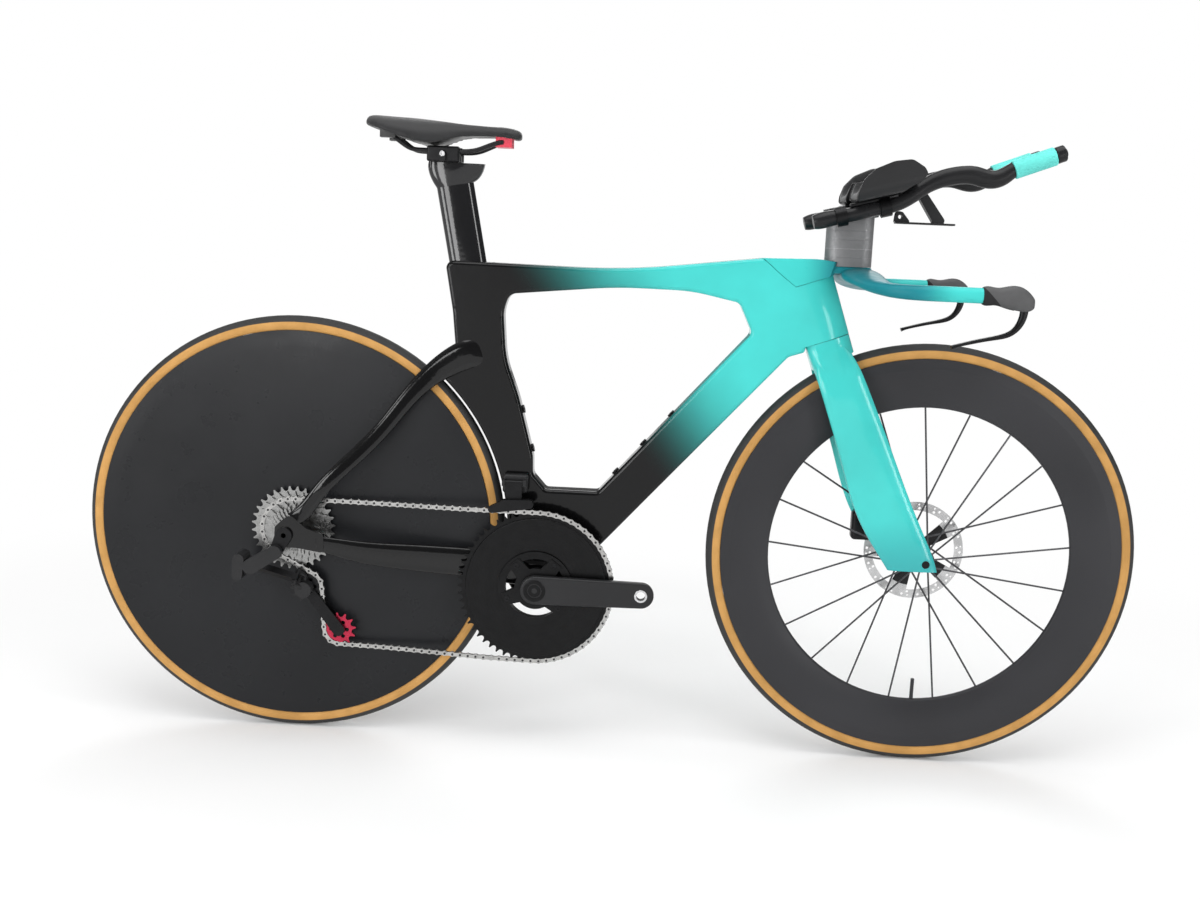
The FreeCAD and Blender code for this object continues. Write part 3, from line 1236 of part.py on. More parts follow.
ring_blank = sprocket(ring_teeth, phases[0], bracket, ring_y, 1.6, 60)
plate = tube(112, 60, bracket + Vec(0, ring_y - 3.2, 0), bracket + Vec(0, ring_y + 0.8, 0))
plate = softened(plate, [e for e in plate.Edges if e.Closed and abs(e.Curve.Radius - 112) < 0.1], [1.4])
feature("outer_chainring", fused([ring_blank, plate]))
inner_ring = sprocket(num("inner_teeth"), 0.04, bracket, ring_y + 7.4, 1.9, 60, 12, 74, 5.5)
feature("inner_chainring", inner_ring)
spider_low = ring_y - 9
spider_high = ring_y + 9.4
spider = tube(33, num("spindle_radius") + 3, bracket + Vec(0, spider_low, 0), bracket + Vec(0, ring_y + 2, 0))
rim_band = tube(59.6, 48, bracket + Vec(0, spider_low + 2, 0), bracket + Vec(0, spider_high - 0.6, 0))
arms = [spider, rim_band]
for degrees in (53, 130, 202, 322):
    angle = math.radians(degrees)
    out = Vec(math.cos(angle), 0, math.sin(angle))
    side = Vec(-out.z, 0, out.x)
    foot = bracket + Vec(0, spider_low, 0)
    corners = [foot + out * a + side * b for a, b in ((26, -13), (54, -10), (54, 10), (26, 13), (26, -13))]
    arms.append(Part.Face(Part.Wire(Part.makePolygon(corners))).extrude(Vec(0, 8, 0)))
feature("crank_spider", fused(arms))

cassette_shapes = []
for i, teeth in enumerate(COGS):
    y = -(num("cog_line") + i * num("cog_step"))
    big = pitch_radius(teeth)
    phase = phases[3] if i == 2 else 0.07 * i
    holes = 9 if teeth >= 19 else 0
    ring = (17.4 + big - roller) / 2
    hole_size = (big - roller - 17.4) * 0.28
    cassette_shapes.append(sprocket(teeth, phase, rear_axle, y, 1.6, 17.3, holes, ring, hole_size, 3.1))
for i in range(len(COGS) - 1):
    y = -(num("cog_line") + i * num("cog_step"))
    ring = min(pitch_radius(COGS[i + 1]) - roller - 0.6, 22)
    low = rear_axle + Vec(0, y - 0.82, 0)
    high = rear_axle + Vec(0, y - num("cog_step") + 0.82, 0)
    cassette_shapes.append(tube(max(ring, 18.2), 17.3, low, high))
last_y = -(num("cog_line") + 11 * num("cog_step"))
lock = tube(18.0, 9.2, rear_axle + Vec(0, last_y - 0.85, 0), rear_axle + Vec(0, last_y - 3.2, 0))
freehub = tube(17.2, 8.7, rear_axle + Vec(0, -22, 0), rear_axle + Vec(0, last_y - 0.8, 0))
feature("cassette", Part.makeCompound(cassette_shapes + [lock]))
feature("freehub_body", freehub)

# Cranks.
thick = cell("crank_thick")


def crank_arm(label, length, y, backward):
    owner = new_body(label + "_arm")
    sketch = owner.newObject("Sketcher::SketchObject", label + "_outline")
    sketch.AttachmentSupport = [(plane(owner, "XZ_Plane"), "")]
    sketch.MapMode = "FlatFace"
    long = length.value
    sign = 1 if long > 0 else -1
    big, small = 23.0, 20.5
    start, end = (math.pi / 2, 3 * math.pi / 2) if sign > 0 else (-math.pi / 2, math.pi / 2)
    other_start, other_end = (-math.pi / 2, math.pi / 2) if sign > 0 else (math.pi / 2, 3 * math.pi / 2)
    boss_circle = Part.Circle(Vec(0, 0, 0), Vec(0, 0, 1), big)
    sketch.addGeometry(Part.ArcOfCircle(boss_circle, start, end), False)
    eye_circle = Part.Circle(Vec(long, 0, 0), Vec(0, 0, 1), small)
    sketch.addGeometry(Part.ArcOfCircle(eye_circle, other_start, other_end), False)
    top_a, low_a = (1, 2) if sign > 0 else (2, 1)
    top_b, low_b = (2, 1) if sign > 0 else (1, 2)
    sketch.addGeometry(Part.LineSegment(Vec(0, big, 0), Vec(long, small, 0)), False)
    sketch.addGeometry(Part.LineSegment(Vec(0, -big, 0), Vec(long, -small, 0)), False)
    sketch.addConstraint(Sketcher.Constraint("Coincident", 0, 3, -1, 1))
    sketch.addConstraint(Sketcher.Constraint("PointOnObject", 1, 3, -1))
    sketch.addConstraint(Sketcher.Constraint("Tangent", 2, 1, 0, top_a))
    sketch.addConstraint(Sketcher.Constraint("Tangent", 2, 2, 1, top_b))
    sketch.addConstraint(Sketcher.Constraint("Tangent", 3, 1, 0, low_a))
    sketch.addConstraint(Sketcher.Constraint("Tangent", 3, 2, 1, low_b))
    sketch.addConstraint(Sketcher.Constraint("Radius", 0, big))
    sketch.addConstraint(Sketcher.Constraint("Radius", 1, small))
    where = sketch.addConstraint(Sketcher.Constraint("DistanceX", -1, 1, 1, 3, long))
    sketch.setExpression("Constraints[%d]" % where, length.text)
    doc.recompute()
    pad = padded(owner, sketch, thick, label + "_pad", backward)
    names = []
    for i, edge in enumerate(pad.Shape.Edges):
        flat_face = abs(edge.BoundBox.YMax - edge.BoundBox.YMin) < 1e-6
        if flat_face:
            names.append("Edge%d" % (i + 1))
    fillet = owner.newObject("PartDesign::Fillet", label + "_rounding")
    fillet.Base = (pad, names)
    fillet.Radius = 3.5
    doc.recompute()
    eye = circles(owner, "XZ_Plane", [(length, 0, cell("pedal_hole"))], label + "_eye")
    pocketed(owner, eye, label + "_thread")
    place(owner, bb_x, y, bb_z)
    return owner


right_arm = crank_arm("right_crank", cell("crank_length"), -cell("crank_offset"), False)
left_arm = crank_arm("left_crank", -cell("crank_length"), cell("crank_offset"), True)
spindle = doc.addObject("Part::Cylinder", "crank_spindle")
bind(spindle, "Radius", cell("spindle_radius"))
bind(spindle, "Height", cell("crank_offset") * 2 - 0.1)
place(spindle, bb_x, cell("crank_offset") - 0.05, bb_z, TO_Y)
right_whole = doc.addObject("Part::Compound", "right_crank")
right_whole.Links = [right_arm, spindle]
keep("right_crank_arm", right_whole)
keep("left_crank_arm", left_arm)

# Front derailleur.
fd_x = bracket.x - 40
fd_z = bracket.z + 158
fd_low = -seat_half - 0.4
fd_body = softblock(Vec(fd_x - 19, fd_low - 19, fd_z - 10), Vec(fd_x + 21, fd_low, fd_z + 20), 5)
hinge = Vec(fd_x, fd_low - 24.5, fd_z + 8)
lugs = []
for low, high in ((-19, -14.4), (14.4, 19)):
    lugs.append(block(Vec(fd_x + low, fd_low - 29, fd_z + 3), Vec(fd_x + high, fd_low - 12, fd_z + 13)))
pin = cylinder(2.4, hinge + Vec(-19, 0, 0), hinge + Vec(19, 0, 0))
feature("front_derailleur_body", fused([fd_body] + lugs + [pin]))
ring_top = pitch_radius(ring_teeth)
cage_ring = ring_top + 6
fd_pieces = [cylinder(4.6, hinge + Vec(-14, 0, 0), hinge + Vec(14, 0, 0))]
fd_pieces.append(block(Vec(fd_x - 13, fd_low - 28.8, fd_z - 20), Vec(fd_x + 13, fd_low - 26.2, fd_z + 8)))
for y in (ring_y + 5.2, ring_y - 6.4):
    sheet_plate = slab([
        (fd_x - 36, fd_z - 40, 6), (fd_x + 34, fd_z - 29, 6), (fd_x + 30, fd_z - 16, 6), (fd_x - 16, fd_z - 18, 6),
        (fd_x - 40, fd_z - 32, 4),
    ], y - 0.8, y + 0.8)
    fd_pieces.append(sheet_plate.cut(cylinder(cage_ring, bracket + Vec(0, -80, 0), bracket + Vec(0, 0, 0))))
fd_pieces.append(block(Vec(fd_x - 13, ring_y - 7.2, fd_z - 20), Vec(fd_x + 24, ring_y + 6.0, fd_z - 17.4)))
fd_cage = fused(fd_pieces).cut(cylinder(2.5, hinge + Vec(-40, 0, 0), hinge + Vec(40, 0, 0)))
feature("front_derailleur_cage", max(fd_cage.Solids, key=lambda solid: solid.Volume))

# Rear derailleur.
hang = rear_axle + Vec(-12, 0, -26)
hang_low = -(dropout_in + 13.2)
hang_high = -(dropout_in + 8.3)
hanger = bar_plate(rear_axle, hang, 13, 10, hang_low, hang_high)
hanger = hanger.cut(cylinder(num("axle_radius") + 0.15, rear_axle + Vec(0, -200, 0), rear_axle + Vec(0, 0, 0)))
hanger = hanger.cut(cylinder(4.6, hang + Vec(0, -200, 0), hang + Vec(0, 0, 0)))
feature("derailleur_hanger", hanger)
link_root = rear_axle + Vec(-52, -66, -54)
link_way = Vec(64, 14, -22)
link_end = link_root + link_way
shift_way = Vec(-(14 * 0.68 + 22 * 0.73) / 64, 0.68, -0.73).normalize()
shift_axis = Vec(link_way).normalize().cross(shift_way).normalize()
link_flat = Vec(link_way).normalize()
knuckle_bolt = cylinder(4.4, hang + Vec(0, hang_high - 0.3, 0), hang + Vec(0, hang_low - 4, 0))
knuckle_top = hang_low - 0.4
b_arm = bar_plate(hang, rear_axle + Vec(-50, 0, -50), 11, 12, knuckle_top - 10, knuckle_top)
b_block = cylinder(5.2, link_root - shift_axis * 14, link_root - shift_axis * 5.9).fuse(
    cylinder(5.2, link_root + shift_axis * 5.9, link_root + shift_axis * 14))
back_plate = bar_plate(rear_axle + Vec(-69, 0, -40), rear_axle + Vec(-71, 0, -66), 9, 8, knuckle_top - 9, -58)
b_pin = cylinder(2.5, link_root - shift_axis * 14, link_root + shift_axis * 14)
wall_one = []
for end in (-1, 1):
    start = link_root + shift_axis * (end * 11.6)
    wall_one.append(cylinder(4.4, start, Vec(rear_axle.x - 69, start.y - 4, start.z)))
b_body = fused([knuckle_bolt, b_arm, b_block, back_plate, b_pin] + wall_one)
feature("rear_derailleur_body", b_body)


def link_bar(low, high, width):
    """Plate from the body pivot to the knuckle pivot, between two heights along the pivot axis."""
    side = shift_axis.cross(link_flat)
    start = link_root + shift_axis * low
    points = [start - side * width, start + link_way - side * width]
    points += [start + link_way + side * width, start + side * width]
    wire = Part.Wire(Part.makePolygon(points + [points[0]]))
    plate_shape = Part.Face(wire).extrude(shift_axis * (high - low))
    for spot in (link_root, link_end):
        plate_shape = plate_shape.fuse(cylinder(width, spot + shift_axis * low, spot + shift_axis * high))
    return plate_shape


link_shape = link_bar(-5.5, 5.5, 5.0)
for spot in (link_root, link_end):
    link_shape = link_shape.cut(cylinder(2.6, spot - shift_axis * 30, spot + shift_axis * 30))
link_shape = max(link_shape.removeSplitter().Solids, key=lambda solid: solid.Volume)
feature("rear_derailleur_link", link_shape)
cage_out = cog_y - 7.0
hub_start = Vec(guide.x, cage_out - 0.4, guide.z)
hub_end = Vec(guide.x, cage_out - 19, guide.z)
p_parts = [cylinder(13, hub_start, hub_end), cylinder(2.5, link_end - shift_axis * 14, link_end + shift_axis * 14)]
hub_mid = Vec(guide.x, cage_out - 14, guide.z)
clear_way = hub_mid - link_end
clear_way = (clear_way - shift_axis * clear_way.dot(shift_axis)).normalize()
for end in (-1, 1):
    start = link_end + shift_axis * (end * 5.9)
    p_parts.append(cylinder(4.6, start, link_end + shift_axis * (end * 14)))
    elbow = link_end + shift_axis * (end * 11.5) + clear_way * 14
    p_parts.append(cylinder(4, link_end + shift_axis * (end * 11.5), elbow))
    p_parts.append(cylinder(4, elbow, hub_mid))
hub_bore = cylinder(3.1, hub_start + Vec(0, 9, 0), hub_start + Vec(0, -9, 0))
feature("rear_derailleur_knuckle", fused(p_parts).cut(hub_bore))
cage_pieces = [bar_plate(guide, tension, 8.2, 10, cage_out, cage_out + 2)]
cage_pieces.append(bar_plate(guide, tension, 12, 10, cog_y + 4.6, cog_y + 6.4))
for spot, low in ((guide, cage_out - 8), (tension, cage_out)):
    cage_pieces.append(cylinder(3.0, Vec(spot.x, low, spot.z), Vec(spot.x, cog_y + 6.4, spot.z)))
feature("rear_derailleur_cage", fused(cage_pieces))
for label, spot, phase in (("guide_pulley", guide, phases[2]), ("tension_pulley", tension, phases[1])):
    pulley = sprocket(pulley_teeth, phase, spot, cog_y, 1.9, 3.06, 6, 13, 3.2, 3.0)
    hub_ring = tube(6, 3.06, Vec(spot.x, cog_y - 2.2, spot.z), Vec(spot.x, cog_y + 2.2, spot.z))
    feature(label, fused([pulley, hub_ring]))

doc.recompute()
for label, thing in nodes:
    bad = [state for state in thing.State if state in ("Invalid", "Error")]
    shape = thing.Shape
    if bad or shape.isNull() or not shape.isValid() or not shape.Solids:
        print("PROBLEM", label, thing.State, shape.isNull(), None if shape.isNull() else shape.isValid())
os.makedirs("parts", exist_ok=True)
for label, thing in nodes:
    thing.Shape.exportStep(os.path.join("parts", label + ".step"))
    print(label, len(thing.Shape.Solids), len(thing.Shape.Faces), round(thing.Shape.Volume / 1000, 1))
print("datums", "bb", bracket, "crown", crown, "up", steer_up, "guide", guide, "tension", tension, "cage", cage_angle,
      "links", links, "pivot", pivot, "hinge", hinge, "root", link_root, "end", link_end, "axis", shift_axis,
      "cap", cap_end, "grip", grip_way, "seat_up", seat_up, "rail", rail_x, rail_z, "bosses", boss_spots)
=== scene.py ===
import json
import math
import bpy
import bmesh
from mathutils import Matrix, Vector


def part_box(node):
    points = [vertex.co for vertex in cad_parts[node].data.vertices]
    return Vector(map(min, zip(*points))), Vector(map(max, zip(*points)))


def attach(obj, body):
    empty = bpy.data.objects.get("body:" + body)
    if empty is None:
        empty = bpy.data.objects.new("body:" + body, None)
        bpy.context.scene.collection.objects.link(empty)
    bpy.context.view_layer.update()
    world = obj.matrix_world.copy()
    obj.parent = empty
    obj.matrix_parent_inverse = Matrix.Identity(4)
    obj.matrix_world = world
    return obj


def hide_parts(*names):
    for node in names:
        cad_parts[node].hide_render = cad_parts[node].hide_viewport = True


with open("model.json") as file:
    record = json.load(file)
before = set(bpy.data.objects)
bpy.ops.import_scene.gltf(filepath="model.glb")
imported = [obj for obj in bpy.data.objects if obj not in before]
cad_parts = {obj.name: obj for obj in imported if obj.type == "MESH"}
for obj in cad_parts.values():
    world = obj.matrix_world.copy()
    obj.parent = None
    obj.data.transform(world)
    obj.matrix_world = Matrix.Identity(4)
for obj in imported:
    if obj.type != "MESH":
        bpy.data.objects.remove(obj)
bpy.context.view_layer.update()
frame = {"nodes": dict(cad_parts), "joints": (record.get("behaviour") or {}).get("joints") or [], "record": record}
nodes = frame["nodes"]
jointPlace = {joint["name"]: joint.get("pos_m") for joint in frame["joints"]}
rearAxle = jointPlace["rear_wheel_spin"]
frontAxle = jointPlace["front_wheel_spin"]
bracketAxle = jointPlace["crank_spin"]
print("frame loaded", len(nodes), "nodes")


# material tools
def startMaterial(name):
    material = bpy.data.materials.new(name)
    material.use_nodes = True
    tree = material.node_tree
    return material, tree, tree.nodes["Principled BSDF"]


def addNode(tree, kind, settings=None, inputs=None):
    node = tree.nodes.new(kind)
    for key, value in (settings or {}).items():
        setattr(node, key, value)
    for key, value in (inputs or {}).items():
        if isinstance(value, bpy.types.NodeSocket):
            tree.links.new(value, node.inputs[key])
        else:
            node.inputs[key].default_value = value
    return node


def objectPlace(tree, centre=(0, 0, 0), scale=(1, 1, 1)):
    coords = addNode(tree, "ShaderNodeTexCoord")
    back = [-c for c in centre]
    moved = addNode(tree, "ShaderNodeMapping", inputs={0: coords.outputs["Object"], 1: back})
    return addNode(tree, "ShaderNodeMapping", inputs={0: moved.outputs[0], 3: scale}).outputs[0]


def noiseOf(tree, place, scale, detail=3.0):
    settings = {"Vector": place, "Scale": scale, "Detail": detail, "Roughness": 0.55}
    return addNode(tree, "ShaderNodeTexNoise", inputs=settings).outputs["Fac"]


def waveOf(tree, place, direction, scale, distortion):
    settings = {"Vector": place, "Scale": scale, "Distortion": distortion}
    return addNode(tree, "ShaderNodeTexWave", {"bands_direction": direction}, settings).outputs["Fac"]


def cellsOf(tree, place, feature, scale):
    settings = {"Vector": place, "Scale": scale}
    return addNode(tree, "ShaderNodeTexVoronoi", {"feature": feature}, settings).outputs["Distance"]


def spread(tree, value, low, high, fromLow=0.3, fromHigh=0.7, ease="LINEAR"):
    inputs = {0: value, 1: fromLow, 2: fromHigh, 3: low, 4: high}
    return addNode(tree, "ShaderNodeMapRange", {"interpolation_type": ease}, inputs).outputs[0]


def mixColours(tree, share, first, second):
    node = addNode(tree, "ShaderNodeMix", {"data_type": "RGBA"}, {0: share})
    for index, colour in ((6, first), (7, second)):
        if isinstance(colour, bpy.types.NodeSocket):
            tree.links.new(colour, node.inputs[index])
        else:
            node.inputs[index].default_value = (*colour, 1)
    return node.outputs[2]


def shade(colour, share):
    return [min(1.0, channel * share) for channel in colour]


def sums(tree, kind, first, second=0.0):
    return addNode(tree, "ShaderNodeMath", {"operation": kind}, {0: first, 1: second}).outputs[0]


def alongWay(tree, place, xShare, zShare):
    axes = addNode(tree, "ShaderNodeSeparateXYZ", inputs={0: place})
    return sums(tree, "ADD", sums(tree, "MULTIPLY", axes.outputs[0], xShare),
                sums(tree, "MULTIPLY", axes.outputs[2], zShare))


def roughSurface(tree, shader, height, strength, distance):
    inputs = {"Strength": strength, "Distance": distance, "Height": height}
    bump = addNode(tree, "ShaderNodeBump", inputs=inputs)
    tree.links.new(bump.outputs[0], shader.inputs["Normal"])


def wheelRadius(tree, axle):
    place = objectPlace(tree, axle, (1, 0, 1))  # flattened across the wheel
    return addNode(tree, "ShaderNodeVectorMath", {"operation": "LENGTH"}, {0: place}).outputs["Value"]


def turnedRings(tree, axle):
    ring = sums(tree, "MULTIPLY", wheelRadius(tree, axle), 4200.0)  # about 4 tool marks a millimetre
    inputs = {"W": ring, "Scale": 1.0, "Detail": 2.0}
    return addNode(tree, "ShaderNodeTexNoise", {"noise_dimensions": "1D"}, inputs).outputs["Fac"]


# finishes
def paint(name, colour, other=None, fadeAndShade=None, roughness=0.16, coat=0.5, gloss=0.25, lacquer=1.4):
    # gloss paint with faint clouding and orange peel; the blend tuple (middle, start, end, x share, z share) mixes
    # in the other colour: a two-tone paint fade on the frame, painted shade on the fork and bar
    material, tree, shader = startMaterial(name)
    place = objectPlace(tree)
    cloud = spread(tree, noiseOf(tree, place, 9.0), 0.0, 1.0)
    base = mixColours(tree, cloud, shade(colour, 0.9), shade(colour, 1.06))
    # blend to the other colour along a line: the frame's paint fade, and painted shade on the fork and bar
    if fadeAndShade:
        middle, start, end, xShare, zShare = fadeAndShade
        away = sums(tree, "ABSOLUTE", sums(tree, "SUBTRACT", alongWay(tree, place, xShare, zShare), middle))
        ramp = spread(tree, away, 0.0, 1.0, start, end, "SMOOTHERSTEP")
        base = mixColours(tree, ramp, other, base)
    tree.links.new(base, shader.inputs["Base Color"])
    shader.inputs["Specular IOR Level"].default_value = gloss
    shader.inputs["Coat Weight"].default_value = coat
    shader.inputs["Coat IOR"].default_value = lacquer
    shader.inputs["Coat Roughness"].default_value = 0.04
    mottle = spread(tree, noiseOf(tree, place, 40.0), roughness * 0.8, roughness * 1.3)
    tree.links.new(mottle, shader.inputs["Roughness"])
    roughSurface(tree, shader, noiseOf(tree, place, 420.0, 2.0), 0.04, 0.0004)
    return material


def satinCarbon(name, colour, roughness=0.4, axle=(0, 0, 0)):
    # dark moulded carbon: soft clouds of grey and a fine woven relief
    material, tree, shader = startMaterial(name)
    place = objectPlace(tree, axle)
    cloud = spread(tree, noiseOf(tree, place, 5.0, 1.0), 0.0, 1.0)
    fibre = sums(tree, "MULTIPLY", waveOf(tree, place, "DIAGONAL", 160.0, 0.6),
                 waveOf(tree, place, "Z", 150.0, 0.4))
    base = mixColours(tree, cloud, shade(colour, 0.85), shade(colour, 1.15))
    woven = mixColours(tree, sums(tree, "MULTIPLY", fibre, 0.25), base, shade(colour, 1.5))
    tree.links.new(woven, shader.inputs["Base Color"])
    mottle = spread(tree, noiseOf(tree, place, 24.0), roughness * 0.85, roughness * 1.15)
    tree.links.new(mottle, shader.inputs["Roughness"])
    shader.inputs["Specular IOR Level"].default_value = 0.22
    roughSurface(tree, shader, fibre, 0.06, 0.0002)
    return material


def metal(name, colour, roughness=0.3, metallic=1.0, axle=None, grain=60.0):
    # axle given: turned or ground rings about it, else a fine random grain
    material, tree, shader = startMaterial(name)
    place = objectPlace(tree)
    fine = turnedRings(tree, axle) if axle else noiseOf(tree, place, grain * 14, 2.0)
    wear = spread(tree, noiseOf(tree, place, grain, 4.0), 0.0, 1.0, 0.4, 0.7)
    tree.links.new(mixColours(tree, wear, colour, shade(colour, 0.78)), shader.inputs["Base Color"])
    shader.inputs["Metallic"].default_value = metallic
    tree.links.new(spread(tree, fine, roughness * 0.75, roughness * 1.3), shader.inputs["Roughness"])
    roughSurface(tree, shader, fine, 0.05, 0.0002)
    return material


rotorLook = {"steel": (0.6, 0.6, 0.605), "carrier": (0.012, 0.012, 0.013), "edge": 0.0585}


def rotorSteel(name, axle):
    # ground steel track outside a black carrier
    material, tree, shader = startMaterial(name)
    outside = sums(tree, "GREATER_THAN", wheelRadius(tree, axle), rotorLook["edge"])
    fine = turnedRings(tree, axle)
    wear = spread(tree, noiseOf(tree, objectPlace(tree), 60.0, 4.0), 0.0, 1.0, 0.4, 0.7)
    steel = mixColours(tree, wear, rotorLook["steel"], shade(rotorLook["steel"], 0.78))
    tree.links.new(mixColours(tree, outside, rotorLook["carrier"], steel), shader.inputs["Base Color"])
    tree.links.new(spread(tree, outside, 0.5, 1.0, 0.0, 1.0), shader.inputs["Metallic"])
    tree.links.new(spread(tree, fine, 0.22, 0.38), shader.inputs["Roughness"])
    roughSurface(tree, shader, fine, 0.05, 0.0002)
    return material


def moulded(name, colour, roughness=0.5, grain=700.0, strength=0.12, other=None, split=None):
    # moulded plastic or rubber with a fine grain; split = (x share, z share, edge) starts a second colour
    material, tree, shader = startMaterial(name)
    place = objectPlace(tree)
    dust = spread(tree, noiseOf(tree, place, 30.0), 0.0, 1.0)
    base = mixColours(tree, dust, shade(colour, 0.88), shade(colour, 1.12))
    if split:
        xShare, zShare, edge = split
        past = sums(tree, "GREATER_THAN", alongWay(tree, place, xShare, zShare), edge)
        base = mixColours(tree, past, other, base)
    tree.links.new(base, shader.inputs["Base Color"])
    mottle = spread(tree, noiseOf(tree, place, 55.0), roughness * 0.85, roughness * 1.15)
    tree.links.new(mottle, shader.inputs["Roughness"])
    shader.inputs["Specular IOR Level"].default_value = 0.25
    roughSurface(tree, shader, cellsOf(tree, place, "SMOOTH_F1", grain), strength, 0.0005)
    return material


tyreLook = {"tan": (0.56, 0.29, 0.075), "tread": (0.018, 0.018, 0.018), "edge": 0.3292, "softness": 0.0006}


def tyreRubber(name, axle):
    # tan side wall with its crossed threads, black tread beyond the edge radius
    material, tree, shader = startMaterial(name)
    place = objectPlace(tree, axle)
    tan, tread, middle, soft = (tyreLook[key] for key in ("tan", "tread", "edge", "softness"))
    edge = spread(tree, wheelRadius(tree, axle), 0.0, 1.0, middle - soft, middle + soft, "SMOOTHSTEP")
    threads = sums(tree, "MULTIPLY", waveOf(tree, place, "DIAGONAL", 520.0, 0.5),
                   waveOf(tree, place, "X", 480.0, 0.5))
    age = spread(tree, noiseOf(tree, place, 26.0, 4.0), 0.0, 1.0, 0.35, 0.65)
    wall = mixColours(tree, age, tan, shade(tan, 0.82))
    wall = mixColours(tree, sums(tree, "MULTIPLY", threads, 0.35), wall, shade(tan, 0.7))
    tree.links.new(mixColours(tree, edge, wall, mixColours(tree, age, tread, shade(tread, 1.6))),
                   shader.inputs["Base Color"])
    tree.links.new(spread(tree, age, 0.62, 0.8, 0.0, 1.0), shader.inputs["Roughness"])
    roughSurface(tree, shader, threads, 0.15, 0.0004)
    return material


def softCover(name, colour, roughness, grain, strength, sheen=0.15):
    # foam or synthetic leather: pebbled cells under finer pores
    material, tree, shader = startMaterial(name)
    place = objectPlace(tree)
    cells = cellsOf(tree, place, "DISTANCE_TO_EDGE", grain)
    pores = noiseOf(tree, place, grain * 3.1, 2.0)
    worn = spread(tree, noiseOf(tree, place, 16.0, 4.0), 0.0, 1.0)
    base = mixColours(tree, worn, shade(colour, 0.8), shade(colour, 1.25))
    tree.links.new(base, shader.inputs["Base Color"])
    mottle = spread(tree, worn, roughness * 0.85, roughness * 1.1, 0.0, 1.0)
    tree.links.new(mottle, shader.inputs["Roughness"])
    shader.inputs["Sheen Weight"].default_value = sheen
    shader.inputs["Specular IOR Level"].default_value = 0.2
    height = sums(tree, "ADD", sums(tree, "MULTIPLY", cells, 1.5), sums(tree, "MULTIPLY", pores, 0.35))
    roughSurface(tree, shader, height, strength, 0.0006)
    return material


shellLook = {"black": (0.017, 0.017, 0.017), "red": (0.6, 0.038, 0.07), "frontOf": -0.196, "below": 0.9668}


def shellWithRedNose(name):
    # black moulded shell whose front rail socket is red
    material, tree, shader = startMaterial(name)
    place = objectPlace(tree)
    axes = addNode(tree, "ShaderNodeSeparateXYZ", inputs={0: place})
    front = sums(tree, "GREATER_THAN", axes.outputs[0], shellLook["frontOf"])
    low = sums(tree, "LESS_THAN", axes.outputs[2], shellLook["below"])
    dust = spread(tree, noiseOf(tree, place, 30.0), 0.0, 1.0)
    black = mixColours(tree, dust, shade(shellLook["black"], 0.85), shade(shellLook["black"], 1.15))
    red = mixColours(tree, dust, shade(shellLook["red"], 0.92), shade(shellLook["red"], 1.08))
    socket = sums(tree, "MULTIPLY", front, low)
    tree.links.new(mixColours(tree, socket, black, red), shader.inputs["Base Color"])
    tree.links.new(spread(tree, noiseOf(tree, place, 60.0), 0.32, 0.45), shader.inputs["Roughness"])
    roughSurface(tree, shader, noiseOf(tree, place, 800.0), 0.05, 0.0003)
    return material


